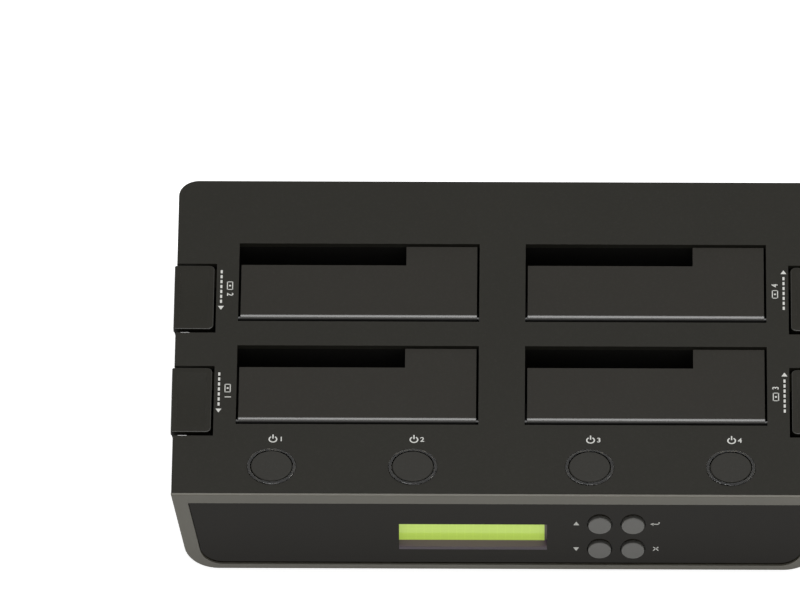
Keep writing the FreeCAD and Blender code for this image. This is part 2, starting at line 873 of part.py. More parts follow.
elbow_z = finger_tip_z + elbow_rise


def flap_axis_y(bay_y):
    return bay_y - bay_depth / 2 + flap_axis_back


def lever_parts(bay_y):
    """Places along the depth of a lever's arm, shaft, spring and the two ears that carry its pin."""
    rear = lever_span(bay_y)[1]
    finger_middle = bay_y + bay_depth / 2 - finger_setback
    arm = (rear - lever_arm_width, rear - seat_gap)
    finger = (finger_middle - finger_width / 2, finger_middle + finger_width / 2)
    front_ear_end = arm[0] - lever_spring_length - seat_gap
    return {
        "arm": arm,
        "finger": finger,
        "shaft": (arm[0], finger[1]),
        "spring": (front_ear_end, arm[0] - seat_gap),
        "ears": [
            (front_ear_end - ear_plate, front_ear_end),
            (finger[1] + seat_gap, finger[1] + seat_gap + ear_plate),
        ],
    }


def ear(wall_x, y0, y1):
    """A plate on the liner's wall, rounded about the lever's pin."""
    nose = rod_y(lever_pin_x, lever_pin_z, lever_boss_radius, y0, y1)
    root = plate_y([
        (lever_pin_x, lever_pin_z + lever_boss_radius),
        (wall_x + slip, lever_pin_z + lever_boss_radius),
        (wall_x + slip, lever_pin_z - lever_boss_radius - ear_plate),
        (lever_pin_x, lever_pin_z - lever_boss_radius),
    ], y0, y1)
    return nose.fuse(root)


def finger_slots(bay_y):
    """Where the lever's finger passes through the liner's wall and the drive floor, on the left side."""
    front, rear = lever_parts(bay_y)["finger"]
    wall_x = -bay_column_x - bay_width / 2
    room_front = front - finger_slot_gap
    room_rear = rear + finger_slot_gap
    wall_slot = box(wall_x - liner_wall - 1, wall_x + 1, room_front, room_rear,
                    floor_z - 1, lever_pin_z - lever_slot_drop)
    floor_slot = box(wall_x - 1, finger_tip_x + finger_sweep, room_front, room_rear,
                     floor_z - 1, drive_floor_z + 1)
    return wall_slot.fuse(floor_slot)


def bay_liner(bay_x, bay_y, side):
    half = bay_width / 2
    front = bay_y - bay_depth / 2
    rear = bay_y + bay_depth / 2
    body = box(bay_x - half - liner_wall, bay_x + half + liner_wall,
               front - liner_wall, rear + liner_wall, floor_z, liner_top)
    body = soften(body, liner_wall, along_z, lambda p: True)
    well = box(bay_x - half, bay_x + half, front, rear, floor_z - 1, liner_top + 1)
    shelf = box(bay_x - half - liner_wall / 2, bay_x + half + liner_wall / 2, front + drive_floor_start,
                rear + liner_wall / 2, drive_floor_z - drive_floor_plate, drive_floor_z)
    axis_y = flap_axis_y(bay_y)
    boss_reach = half + liner_wall + pin_boss_length
    bosses = [
        rod_x(axis_y, flap_axis_z, pin_boss_diameter / 2, bay_x - boss_reach, bay_x - half - liner_wall / 2),
        rod_x(axis_y, flap_axis_z, pin_boss_diameter / 2, bay_x + half + liner_wall / 2, bay_x + boss_reach),
    ]
    above_boss = block(bay_x, axis_y, 2 * boss_reach + 2, pin_boss_diameter + 2, liner_top, top_z + 1)
    wall_x = -bay_column_x - half - liner_wall
    ears = [on_side(ear(wall_x, *span), side) for span in lever_parts(bay_y)["ears"]]
    tub = fuse([body.cut(well), shelf] + [boss.cut(above_boss) for boss in bosses] + ears)
    connector_x, connector_y = connector_place(bay_x, bay_y)
    tools = [
        rod_x(axis_y, flap_axis_z, pin_bore, bay_x - boss_reach - 1, bay_x + boss_reach + 1),
        on_side(rod_y(lever_pin_x, lever_pin_z, lever_bore, front, rear + 2 * ear_plate), side),
        on_side(finger_slots(bay_y), side),
        block(connector_x, connector_y, connector_width + 2 * connector_slot_gap,
              connector_depth + 2 * connector_slot_gap, floor_z, drive_floor_z + 1),
    ]
    ribbon_half = ribbon_width / 2 + ribbon_clearance
    tools += [
        box(x - ribbon_half, x + ribbon_half, start - ribbon_clearance, rear_y,
            floor_z - 1, floor_z + ribbon_plate + ribbon_clearance)
        for x, start in ribbon_runs
    ]
    return cut(tub, tools).removeSplitter()


# --- flaps ---------------------------------------------------------------------------------------------------
def flap_outline(bay_x, bay_y):
    """L-shaped outline, with a notch at the rear left that a 2.5 inch drive goes into."""
    left = bay_x - bay_width / 2 + flap_side_gap
    right = bay_x + bay_width / 2 - flap_side_gap
    axis_y = flap_axis_y(bay_y)
    rear = bay_y + bay_depth / 2 - flap_rear_gap
    step_x = bay_x - bay_width / 2 + small_drive_notch_width
    step_y = bay_y + bay_depth / 2 - small_drive_notch_depth
    return [(left, axis_y), (right, axis_y), (right, rear), (step_x, rear), (step_x, step_y), (left, step_y)]


def spring_cut(x, y):
    """Room under the barrel for the coil, open downwards."""
    radius = barrel_radius - spring_hood
    half = spring_length / 2 + seat_gap
    room = rod_x(y, flap_axis_z, radius, x - half, x + half)
    below_room = box(x - half, x + half, y - barrel_radius - 1, y + barrel_radius + spring_leg,
                     flap_axis_z - barrel_radius - 1, flap_axis_z - pin_diameter / 2)
    return room.fuse(below_room)


def spring_place(bay_x, side):
    return bay_x - side * (bay_width / 2 - spring_end_inset)


def bay_flap(bay_x, bay_y, side):
    axis_y = flap_axis_y(bay_y)
    top = below(flap_recess)
    outline = flap_outline(bay_x, bay_y)
    left, right = outline[0][0], outline[1][0]
    plate = plate_z(outline, top - flap_plate, top)
    barrel = rod_x(axis_y, flap_axis_z, barrel_radius, left, right)
    ribs = []
    for index in range(flap_ribs):
        rib_x = left + (right - left) * (index + 1) / (flap_ribs + 1)
        in_notch = rib_x < outline[3][0]
        rib_rear = (outline[4][1] if in_notch else outline[2][1]) - flap_rib_end
        ribs.append(box(rib_x - flap_rib / 2, rib_x + flap_rib / 2, axis_y, rib_rear,
                        top - flap_plate - flap_rib_height, top - flap_plate / 2))
    flap = fuse([plate, barrel] + ribs)
    return cut(flap, [
        spring_cut(spring_place(bay_x, side), axis_y),
        rod_x(axis_y, flap_axis_z, pin_bore, left - 1, right + 1),
    ])


def flap_pins():
    reach = bay_width / 2 + liner_wall + pin_boss_length
    return Part.makeCompound([
        rod_x(flap_axis_y(y), flap_axis_z, pin_diameter / 2, x - reach, x + reach)
        for x, y, side in bays.values()
    ])


def flap_springs():
    """Closed torsion coils on the flap pins, each with the leg that leans on the liner's front wall."""
    springs = []
    inner = pin_diameter / 2 + spring_fit
    for x, y, side in bays.values():
        axis_y = flap_axis_y(y)
        start = spring_place(x, side) - spring_length / 2
        coil = rod_x(axis_y, flap_axis_z, inner + spring_wire, start, start + spring_length)
        bore = rod_x(axis_y, flap_axis_z, inner, start - 1, start + spring_length + 1)
        leg = rod_y(start + spring_wire, flap_axis_z - inner - spring_wire / 2, spring_leg_share * spring_wire,
                    y - bay_depth / 2, axis_y)
        springs.append(fuse([coil.cut(bore), leg.cut(bore)]))
    return Part.makeCompound(springs)


# --- eject levers --------------------------------------------------------------------------------------------
def lever_plate_top(front, rear):
    """The paddle that the finger presses, with a lip that follows the body's side and a shallow dish."""
    outer = -half_width - lever_proud
    inner = outer + lever_reach
    top = below(lever_recess)
    paddle = box(outer, inner, front, rear, top - lever_plate, top)
    paddle = soften(paddle, lever_corner_radius, along_z, lambda p: p.x > inner - 1e-4)
    paddle = soften(paddle, lever_outer_round, along_z, lambda p: p.x < outer + 1e-4)
    rim = [edge for edge in paddle.Edges if edge.BoundBox.ZMin > top - 1e-4]
    paddle = paddle.makeFillet(lever_edge_round, rim)
    lip = plate_y([
        (outer, top - lever_plate / 2),
        (outer + lever_plate, top - lever_plate / 2),
        (outer + lever_plate + lever_lip * lean, top - lever_lip),
        (outer + lever_lip * lean, top - lever_lip),
    ], front + lever_outer_round, rear - lever_outer_round)
    reach = (front - rear) / 2 + lever_dish_margin
    radius = (reach ** 2 + lever_dish ** 2) / (2 * lever_dish)
    dish = Part.makeCylinder(radius, lever_reach - 2 * lever_dish_margin,
                             Vector(outer + lever_dish_margin, (front + rear) / 2, top - lever_dish + radius),
                             along_x)
    return paddle.fuse(lip).cut(dish)


def lever_arm_plate(y0, y1):
    """Web from under the paddle, over the pocket's sill, to the shaft."""
    inner = -half_width - lever_proud + lever_reach
    underside = below(lever_recess + lever_plate)
    outer_root = inner - lever_arm_root
    return plate_y([
        (outer_root, underside + slip),
        (inner, underside + slip),
        (lever_pin_x, lever_pin_z + lever_boss_radius),
        (lever_pin_x - lever_boss_radius / 2, lever_pin_z - lever_boss_radius / 2),
    ], y0, y1)


def offset_bar(x0, z0, x1, z1, thickness, y0, y1):
    """A flat bar from one (x, z) point to another, with rounded ends."""
    run_x, run_z = x1 - x0, z1 - z0
    length = math.hypot(run_x, run_z)
    side_x_step = -run_z / length * thickness / 2
    side_z_step = run_x / length * thickness / 2
    bar = plate_y([
        (x0 + side_x_step, z0 + side_z_step),
        (x1 + side_x_step, z1 + side_z_step),
        (x1 - side_x_step, z1 - side_z_step),
        (x0 - side_x_step, z0 - side_z_step),
    ], y0, y1)
    ends = [rod_y(x, z, thickness / 2, y0, y1) for x, z in ((x0, z0), (x1, z1))]
    return bar.fuse(ends)


def eject_lever(bay_y, side):
    front, rear = lever_span(bay_y)
    places = lever_parts(bay_y)
    shaft = rod_y(lever_pin_x, lever_pin_z, lever_boss_radius, *places["shaft"])
    drop = offset_bar(lever_pin_x, lever_pin_z, elbow_x, elbow_z, lever_arm, *places["finger"])
    hook = offset_bar(elbow_x, elbow_z, finger_tip_x, finger_tip_z, finger_thickness, *places["finger"])
    lever = fuse([lever_plate_top(front, rear), lever_arm_plate(*places["arm"]), shaft, drop, hook])
    bore = rod_y(lever_pin_x, lever_pin_z, lever_bore, places["shaft"][0] - 1, places["shaft"][1] + 1)
    return on_side(lever.cut(bore), side)


def eject_pins():
    pins = []
    for x, y, side in bays.values():
        ears = lever_parts(y)["ears"]
        pins.append(on_side(rod_y(lever_pin_x, lever_pin_z, lever_pin_diameter / 2, ears[0][0], ears[1][1]), side))
    return Part.makeCompound(pins)


def eject_springs():
    """Closed torsion coils on the lever pins, each with the leg that leans on the liner's side."""
    springs = []
    inner = lever_pin_diameter / 2 + spring_fit
    wall_x = -bay_column_x - bay_width / 2 - liner_wall
    for x, y, side in bays.values():
        start, end = lever_parts(y)["spring"]
        coil = rod_y(lever_pin_x, lever_pin_z, inner + lever_spring_wire, start, end)
        bore = rod_y(lever_pin_x, lever_pin_z, inner, start - 1, end + 1)
        leg = rod_x(start + lever_spring_wire, lever_pin_z + inner + lever_spring_wire / 2,
                    spring_leg_share * lever_spring_wire, lever_pin_x, wall_x)
        springs.append(on_side(fuse([coil.cut(bore), leg]), side))
    return Part.makeCompound(springs)


# --- connectors and boards ------------------------------------------------------------------------------------
def sata_connectors():
    connectors = []
    for bay_x, bay_y, side in bays.values():
        x, y = connector_place(bay_x, bay_y)
        low = bay_board_z + board_thickness
        body = block(x, y, connector_width, connector_depth, low, low + connector_height)
        room = block(x, y, connector_width - 2 * connector_tongue, connector_depth - 2 * connector_tongue,
                     low + connector_height - connector_tongue_rise, low + connector_height + 1)
        tongue = block(x, y, connector_width - 4 * connector_tongue, connector_tongue / 2,
                       low + connector_height - connector_tongue_rise - slip, low + connector_height - slip)
        connectors.append(fuse([body.cut(room), tongue]))
    return Part.makeCompound(connectors)


def bay_boards():
    boards = []
    for bay_x, bay_y, side in bays.values():
        x = connector_place(bay_x, bay_y)[0]
        front, rear = bay_board_span(bay_y)
        board = box(x - bay_board_width / 2, x + bay_board_width / 2, front, rear,
                    bay_board_z, bay_board_z + board_thickness)
        boards.append(board)
    return Part.makeCompound(boards)


def main_board():
    half = main_board_half
    board = box(-half, half, main_board_front, main_board_rear, main_board_z, main_board_top)
    holes = [upright(x, y, board_screw_hole, main_board_z - 1, main_board_top + 1) for x, y in main_board_screws]
    return cut(board, holes)


def bay_ribbons():
    """Flat cables on the hull's floor, from each bay's board to the main board."""
    ribbons = []
    for x, start in ribbon_runs:
        end = main_board_front + ribbon_overlap
        half = ribbon_width / 2
        flat = box(x - half, x + half, start, end, floor_z, floor_z + ribbon_plate)
        first = box(x - half, x + half, start, start + ribbon_plate, floor_z, bay_board_z)
        last = box(x - half, x + half, end - ribbon_plate, end, floor_z, main_board_z)
        ribbons.append(fuse([flat, first, last]))
    return Part.makeCompound(ribbons)


def panel_ribbon():
    """Flat cable along the middle of the floor, from the main board to behind the display."""
    half = panel_ribbon_width / 2
    start = display_board_y + board_thickness
    end = main_board_front + ribbon_overlap
    x = post_diameter / 2 + ribbon_clearance + half
    riser_top = window_z
    flat = box(x - half, x + half, start, end, floor_z, floor_z + ribbon_plate)
    first = box(x - half, x + half, start, start + ribbon_plate, floor_z, riser_top)
    last = box(x - half, x + half, end - ribbon_plate, end, floor_z, main_board_z)
    return fuse([flat, first, last])


# --- sockets and rocker switch in the rear wall ------------------------------------------------------------------
socket_face_y = rear_y + socket_reach


def socket_body(name):
    x, width, height, length = sockets[name]
    return block(x, socket_face_y - length / 2, width, length, main_board_top, main_board_top + height)


def dc_inlet():
    z = main_board_top + inlet_height / 2
    start = socket_face_y - inlet_bore_depth
    bore = rod_y(inlet_x, z, inlet_bore / 2, start, socket_face_y + 1)
    pin = rod_y(inlet_x, z, inlet_pin / 2, start, socket_face_y - socket_reach)
    return socket_body("inlet").cut(bore).fuse(pin).removeSplitter()


def usb_socket():
    body = socket_body("usb")
    top = main_board_top + usb_height
    body = body.makeChamfer(usb_chamfer, edges_along(body, along_y, lambda p: p.z > top - 1e-4))
    room = block(usb_x, socket_face_y, usb_width - 2 * usb_shell, 2 * usb_room,
                 main_board_top + usb_shell, top - usb_shell)
    room = room.makeChamfer(usb_chamfer, edges_along(room, along_y, lambda p: p.z > top - usb_shell - 1e-4))
    middle = main_board_top + usb_height / 2
    tongue = block(usb_x, socket_face_y - socket_reach - usb_room / 2, usb_tongue_width, usb_room,
                   middle - usb_tongue_height / 2, middle + usb_tongue_height / 2)
    return body.cut(room).fuse(tongue).removeSplitter()


def esata_socket():
    body = socket_body("esata")
    wall = usb_shell
    room = block(esata_x, socket_face_y, esata_width - 2 * wall, 2 * esata_room,
                 main_board_top + wall, main_board_top + esata_height - wall)
    middle = main_board_top + esata_height / 2
    tongue = block(esata_x, socket_face_y - socket_reach - esata_room / 2, esata_tongue_width, esata_room,
                   middle - esata_tongue_height / 2, middle + esata_tongue_height / 2)
    return body.cut(room).fuse(tongue).removeSplitter()


rocker_z = below(rocker_height_down)
rocker_axle_y = rear_y - rocker_axle_depth
rocker_room_half_z = rocker_cutout_height / 2 - socket_gap - rocker_frame_wall


def rocker_frame():
    width = rocker_cutout_width - 2 * socket_gap
    height = rocker_cutout_height - 2 * socket_gap
    body = block(rocker_x, rear_y - rocker_body_length / 2, width, rocker_body_length,
                 rocker_z - height / 2, rocker_z + height / 2)
    flange = block(rocker_x, rear_y + rocker_flange_plate / 2, rocker_flange_width, rocker_flange_plate,
                   rocker_z - rocker_flange_height / 2, rocker_z + rocker_flange_height / 2)
    flange = flange.makeChamfer(rocker_flange_bevel, [
        edge for edge in flange.Edges if edge.BoundBox.YMin > rear_y + rocker_flange_plate - 1e-4
    ])
    room = box(rocker_x - rocker_frame_inside, rocker_x + rocker_frame_inside,
               rear_y - rocker_body_length + rocker_frame_wall, rear_y + rocker_flange_plate + 1,
               rocker_z - rocker_room_half_z, rocker_z + rocker_room_half_z)
    axle_hole = rod_z(rocker_x, rocker_axle_y, rocker_axle_diameter / 2 + pin_clearance,
                      rocker_z - height / 2, rocker_z + height / 2)
    return cut(body.fuse(flange), [room, axle_hole]).removeSplitter()


def rocker():
    """Drawn level, then turned to the side on which it rests when it is off."""
    half = rocker_half
    half_z = rocker_room_half_z - rocker_gap
    outline = [
        (-half, rocker_radius),
        (0, rocker_radius - rocker_dish),
        (half, rocker_radius),
        (half - rocker_root / 2, -rocker_root),
        (-half + rocker_root / 2, -rocker_root),
    ]
    paddle = plate_z([(rocker_x + x, rocker_axle_y + y) for x, y in outline],
                     rocker_z - half_z, rocker_z + half_z)
    axle_reach = rocker_room_half_z + rocker_frame_wall - rocker_gap
    axle = rod_z(rocker_x, rocker_axle_y, rocker_axle_diameter / 2, rocker_z - axle_reach, rocker_z + axle_reach)
    paddle = fuse([paddle, axle])
    paddle.rotate(Vector(rocker_x, rocker_axle_y, rocker_z), along_z, -rocker_swing)
    return paddle


# --- screws and feet ---------------------------------------------------------------------------------------------
def base_screws():
    screws = []
    for x, y in posts:
        head = upright(x, y, screw_head_diameter / 2, screw_head_z, screw_head_z + screw_head_height)
        shank_low = screw_head_z + screw_head_height
        shank = upright(x, y, screw_diameter / 2, shank_low, shank_low + screw_grip)
        screws.append(fuse([head, shank]))
    return Part.makeCompound(screws)


def board_screw(place, direction):
    """A small screw whose head rests at the place and whose shank runs the way of direction."""
    head = Part.makeCylinder(panel_screw_head_diameter / 2, panel_screw_head_height, place, direction * -1)
    grip = board_thickness + panel_screw_grip - panel_post_diameter / 2
    return fuse([head, Part.makeCylinder(panel_screw_diameter / 2, grip, place, direction)])


def board_screws():
    screws = [board_screw(Vector(x, y + board_thickness, z), along_y * -1) for x, z, y in panel_posts]
    screws += [board_screw(Vector(x, y, button_board_top - board_thickness), along_z) for x, y in button_board_posts]
    screws += [board_screw(Vector(x, y, main_board_top), along_z * -1) for x, y in main_board_screws]
    return Part.makeCompound(screws)


def rubber_feet():
    pads = []
    for x, y in feet:
        pad = upright(x, y, foot_diameter / 2, 0, foot_height + foot_socket)
        pads.append(pad.makeFillet(foot_round, [e for e in pad.Edges if e.BoundBox.ZMax < 1e-4]))
    return Part.makeCompound(pads)


# --- every piece, by the name of its file ---------------------------------------------------------------------------
def pieces():
    made = {
        "top_cover": top_cover(),
        "hull": hull(),
        "front_bezel": front_bezel(),
        "control_panel": control_panel(),
        "display_frame": display_frame(),
        "display_glass": display_glass(),
        "display_backlight": display_backlight(),
        "display_board": display_board(),
        "key_board": key_board(),
        "key_switches": key_switches(),
        "light_rings": light_rings(),
        "button_board": button_board(),
        "button_switches": button_switches(),
        "flap_pins": flap_pins(),
        "flap_springs": flap_springs(),
        "eject_pins": eject_pins(),
        "eject_springs": eject_springs(),
        "sata_connectors": sata_connectors(),
        "bay_boards": bay_boards(),
        "main_board": main_board(),
        "bay_ribbons": bay_ribbons(),
        "panel_ribbon": panel_ribbon(),
        "dc_inlet": dc_inlet(),
        "usb_socket": usb_socket(),
        "esata_socket": esata_socket(),
        "rocker_frame": rocker_frame(),
        "rocker": rocker(),
        "base_screws": base_screws(),
        "board_screws": board_screws(),
        "rubber_feet": rubber_feet(),
    }
    for number, (x, y, side) in bays.items():
        made[f"bay_liner_{number}"] = bay_liner(x, y, side)
        made[f"bay_flap_{number}"] = bay_flap(x, y, side)
        made[f"eject_lever_{number}"] = eject_lever(y, side)
    for number, x in enumerate(button_columns, 1):
        made[f"power_button_{number}"] = power_button(x)
    for name, (x, z) in zip(("key_up", "key_enter", "key_down", "key_escape"), key_places):
        made[name] = menu_key(x, z)
    return made


os.makedirs("parts", exist_ok=True)
for node, shape in pieces().items():
    shape.exportStep(f"parts/{node}.step")
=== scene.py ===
"""Looks of a four-bay drive duplicator: its finishes, printed signs, light, stage and camera.

Metres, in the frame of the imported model: +X is to the right, +Y is to the back, +Z is up, and the
origin is on the surface that the rubber feet stand on.
"""

import math

import bmesh
import bpy
from mathutils import Matrix, Vector


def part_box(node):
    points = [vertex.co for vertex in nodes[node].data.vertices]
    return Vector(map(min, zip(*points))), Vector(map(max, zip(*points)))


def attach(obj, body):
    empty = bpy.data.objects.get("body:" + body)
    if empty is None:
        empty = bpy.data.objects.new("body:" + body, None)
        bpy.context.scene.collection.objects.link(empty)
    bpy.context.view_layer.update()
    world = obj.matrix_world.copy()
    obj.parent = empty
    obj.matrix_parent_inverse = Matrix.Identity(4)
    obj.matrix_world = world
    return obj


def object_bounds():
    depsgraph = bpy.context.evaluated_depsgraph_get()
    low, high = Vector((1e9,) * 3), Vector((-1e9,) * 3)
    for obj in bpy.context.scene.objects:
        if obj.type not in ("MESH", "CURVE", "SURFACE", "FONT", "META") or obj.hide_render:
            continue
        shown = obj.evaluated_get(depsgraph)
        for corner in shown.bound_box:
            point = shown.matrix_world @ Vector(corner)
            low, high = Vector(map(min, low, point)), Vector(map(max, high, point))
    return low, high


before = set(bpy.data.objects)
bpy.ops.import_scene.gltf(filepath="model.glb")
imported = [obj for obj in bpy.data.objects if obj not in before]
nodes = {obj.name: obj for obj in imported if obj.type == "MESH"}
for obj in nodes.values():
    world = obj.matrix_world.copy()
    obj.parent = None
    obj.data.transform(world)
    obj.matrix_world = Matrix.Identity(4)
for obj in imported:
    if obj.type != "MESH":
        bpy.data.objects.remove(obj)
cad_low, cad_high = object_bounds()
top_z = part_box("top_cover")[1].z
MM = 0.001
FULL_TURN = 2 * math.pi


# --- node helpers ------------------------------------------------------------------------------
COLOUR, NUMBER, VECTOR = "NodeSocketColor", "NodeSocketFloat", "NodeSocketVector"


def add(tree, kind, **settings):
    """A shader node with its properties set, and with the constants of its inputs."""
    node = tree.nodes.new(kind)
    values = settings.pop("inputs", {})
    for name, value in settings.items():
        setattr(node, name, value)
    for name, value in values.items():
        node.inputs[name].default_value = value
    return node


def join(tree, source, target):
    tree.links.new(source, target)


def new_group(name, inputs, outputs):
    """An empty node group, with (name, socket type, default) inputs and (name, type) outputs."""
    group = bpy.data.node_groups.new(name, "ShaderNodeTree")
    for label, kind, default in inputs:
        made = group.interface.new_socket(name=label, in_out="INPUT", socket_type=kind)
        made.default_value = default
    for label, kind in outputs:
        group.interface.new_socket(name=label, in_out="OUTPUT", socket_type=kind)
    return group, group.nodes.new("NodeGroupInput"), group.nodes.new("NodeGroupOutput")


def mix_colour(tree, factor, first, second):
    mixer = add(tree, "ShaderNodeMix", data_type="RGBA")
    join(tree, factor, mixer.inputs["Factor"])
    join(tree, first, mixer.inputs[6])
    join(tree, second, mixer.inputs[7])
    return mixer.outputs[2]


def object_place(tree):
    """The place on a piece in its own frame, so that a texture moves with the piece."""
    return add(tree, "ShaderNodeTexCoord").outputs["Object"]


def noise(tree, place, **inputs):
    """A noise texture at this place, with constants for its inputs."""
    texture = add(tree, "ShaderNodeTexNoise", inputs=inputs)
    join(tree, place, texture.inputs["Vector"])
    return texture


def rise(tree, source, start, end):
    """A value that goes from 0 to 1 as the source goes from start to end."""
    mapped = add(tree, "ShaderNodeMapRange", inputs={"From Min": start, "From Max": end})
    join(tree, source, mapped.inputs["Value"])
    return mapped


def product(tree, first, second):
    multiply = add(tree, "ShaderNodeMath", operation="MULTIPLY")
    join(tree, first, multiply.inputs[0])
    join(tree, second, multiply.inputs[1])
    return multiply.outputs["Value"]


def upwardness(tree):
    """The Z of the surface's normal, which is 1 where it faces up."""
    split = add(tree, "ShaderNodeSeparateXYZ")
    join(tree, add(tree, "ShaderNodeNewGeometry").outputs["Normal"], split.inputs["Vector"])
    return split.outputs["Z"]


def shine_and_relief(group, given, made, texture, depth):
    """Roughness between the given two, and bumps of the given depth, both after one texture."""
    shine = rise(group, texture.outputs["Fac"], 0.3, 0.7)
    join(group, given.outputs["Roughness Low"], shine.inputs["To Min"])
    join(group, given.outputs["Roughness High"], shine.inputs["To Max"])
    join(group, shine.outputs["Result"], made.inputs["Roughness"])
    bump = add(group, "ShaderNodeBump")
    join(group, texture.outputs["Fac"], bump.inputs["Height"])
    join(group, given.outputs[depth], bump.inputs["Distance"])
    join(group, bump.outputs["Normal"], made.inputs["Normal"])


# --- shared finishes ---------------------------------------------------------------------------
def grey(value):
    return (value, value, value, 1.0)


def moulded_grain():
    """Spark-eroded grain of a moulding: slow drift of tone, fine pits, and shine that follows them."""
    group, given, made = new_group("moulded_grain", [
        ("Colour", COLOUR, grey(0.5)), ("Drift Colour", COLOUR, grey(0.5)), ("Drift Scale", NUMBER, 30.0),
        ("Grain Scale", NUMBER, 3000.0), ("Grain Depth", NUMBER, 0.00001),
        ("Roughness Low", NUMBER, 0.4), ("Roughness High", NUMBER, 0.6),
    ], [("Color", COLOUR), ("Roughness", NUMBER), ("Normal", VECTOR)])
    place = object_place(group)
    drift = noise(group, place, Detail=2.0)
    grain = noise(group, place, Detail=3.0, Roughness=0.6)
    join(group, given.outputs["Drift Scale"], drift.inputs["Scale"])
    join(group, given.outputs["Grain Scale"], grain.inputs["Scale"])
    tone = mix_colour(group, drift.outputs["Fac"], given.outputs["Colour"], given.outputs["Drift Colour"])
    join(group, tone, made.inputs["Color"])
    shine_and_relief(group, given, made, grain, "Grain Depth")
    return group


def edge_wear():
    """Edges made paler in patches: rubbed wear, and where the amount is high, as on the keys, a painted
    glint.
    """
    group, given, made = new_group("edge_wear", [
        ("Color", COLOUR, grey(0.5)), ("Rubbed Colour", COLOUR, grey(0.5)),
        ("Reach", NUMBER, 0.0004), ("Amount", NUMBER, 0.5),
    ], [("Color", COLOUR)])
    rounded = add(group, "ShaderNodeBevel", samples=4)
    join(group, given.outputs["Reach"], rounded.inputs["Radius"])
    flat = add(group, "ShaderNodeNewGeometry")
    agree = add(group, "ShaderNodeVectorMath", operation="DOT_PRODUCT")
    join(group, rounded.outputs["Normal"], agree.inputs[0])
    join(group, flat.outputs["Normal"], agree.inputs[1])
    edge = rise(group, agree.outputs["Value"], 0.99, 0.82).outputs["Result"]
    patches = noise(group, object_place(group), Scale=260.0, Detail=3.0)
    broken = rise(group, patches.outputs["Fac"], 0.42, 0.62).outputs["Result"]
    share = product(group, product(group, edge, broken), given.outputs["Amount"])
    # Paler edges: rubbed wear, and at a high amount, as on the keys, a painted glint
    rubbed = mix_colour(group, share, given.outputs["Color"], given.outputs["Rubbed Colour"])
    join(group, rubbed, made.inputs["Color"])
    return group


def settled_dust():
    """Specks and a thin film of dust on what faces up."""
    group, given, made = new_group("settled_dust", [
        ("Color", COLOUR, grey(0.5)), ("Dust Colour", COLOUR, (0.35, 0.33, 0.3, 1.0)),
        ("Amount", NUMBER, 0.1),
    ], [("Color", COLOUR)])
    upward = rise(group, upwardness(group), 0.5, 1.0).outputs["Result"]
    specks = noise(group, object_place(group), Scale=900.0, Detail=4.0, Roughness=0.7)
    sparse = rise(group, specks.outputs["Fac"], 0.5, 0.8).outputs["Result"]
    share = product(group, product(group, upward, sparse), given.outputs["Amount"])
    dusty = mix_colour(group, share, given.outputs["Color"], given.outputs["Dust Colour"])
    join(group, dusty, made.inputs["Color"])
    return group


def drawn_metal():
    """Fine lines drawn along one axis of sheet or wire."""
    group, given, made = new_group("drawn_metal", [
        ("Colour", COLOUR, grey(0.5)), ("Line Colour", COLOUR, grey(0.5)),
        ("Stretch", VECTOR, (1.0, 1.0, 1.0)), ("Roughness Low", NUMBER, 0.25),
        ("Roughness High", NUMBER, 0.45), ("Line Depth", NUMBER, 0.000005),
    ], [("Color", COLOUR), ("Roughness", NUMBER), ("Normal", VECTOR)])
    scale = add(group, "ShaderNodeVectorMath", operation="MULTIPLY")
    join(group, object_place(group), scale.inputs[0])
    join(group, given.outputs["Stretch"], scale.inputs[1])
    lines = noise(group, scale.outputs["Vector"], Scale=2500.0, Detail=3.0)
    tone = mix_colour(group, lines.outputs["Fac"], given.outputs["Colour"], given.outputs["Line Colour"])
    join(group, tone, made.inputs["Color"])
    shine_and_relief(group, given, made, lines, "Line Depth")
    return group


def polished_curves():
    """Coat on the slopes of barrels and rounded edges, and painted shade: a near-black tone on what
    stands upright below them.
    """
    group, given, made = new_group("polished_curves", [
        ("Color", COLOUR, grey(0.5)), ("Grime Colour", COLOUR, grey(0.002)),
        ("Amount", NUMBER, 1.0), ("Grime", NUMBER, 0.0),
    ], [("Color", COLOUR), ("Coat Weight", NUMBER)])
    up = upwardness(group)
    turned = rise(group, up, 0.998, 0.985).outputs["Result"]
    sloped = rise(group, up, 0.7, 0.84).outputs["Result"]
    coat = product(group, product(group, turned, sloped), given.outputs["Amount"])
    join(group, coat, made.inputs["Coat Weight"])
    # Painted shade: the tone goes to near black on upright faces, such as a flap barrel's lower front and
    # sides, where shade falls
    upright = rise(group, up, 0.84, 0.66).outputs["Result"]
    share = product(group, upright, given.outputs["Grime"])
    tone = mix_colour(group, share, given.outputs["Color"], given.outputs["Grime Colour"])
    join(group, tone, made.inputs["Color"])
    return group


grain_group = moulded_grain()
wear_and_glint_group = edge_wear()
dust_group = settled_dust()
metal_group = drawn_metal()
polish_and_shade_group = polished_curves()


# --- materials ---------------------------------------------------------------------------------
def new_material(name, **constants):
    """A material whose Principled shader has these constants on its own sockets."""
    material = bpy.data.materials.new(name)
    material.use_nodes = True
    shader = material.node_tree.nodes["Principled BSDF"]
    for label, value in constants.items():
        shader.inputs[label.replace("_", " ")].default_value = value
    return material, material.node_tree, shader


def colour(red, green, blue):
    """A linear colour from 8-bit display values."""
    def linear(value):
        share = value / 255
        return share / 12.92 if share <= 0.04045 else ((share + 0.055) / 1.055) ** 2.4
    return (linear(red), linear(green), linear(blue), 1.0)


def use_group(tree, group, **constants):
    node = add(tree, "ShaderNodeGroup", node_tree=group)
    for label, value in constants.items():
        node.inputs[label.replace("_", " ")].default_value = value
    return node


def dress(tree, shader, layer, tone=None):
    """Give the shader the roughness and normal of a layer, and its colour or else the given tone."""
    join(tree, tone or layer.outputs["Color"], shader.inputs["Base Color"])
    join(tree, layer.outputs["Roughness"], shader.inputs["Roughness"])
    join(tree, layer.outputs["Normal"], shader.inputs["Normal"])


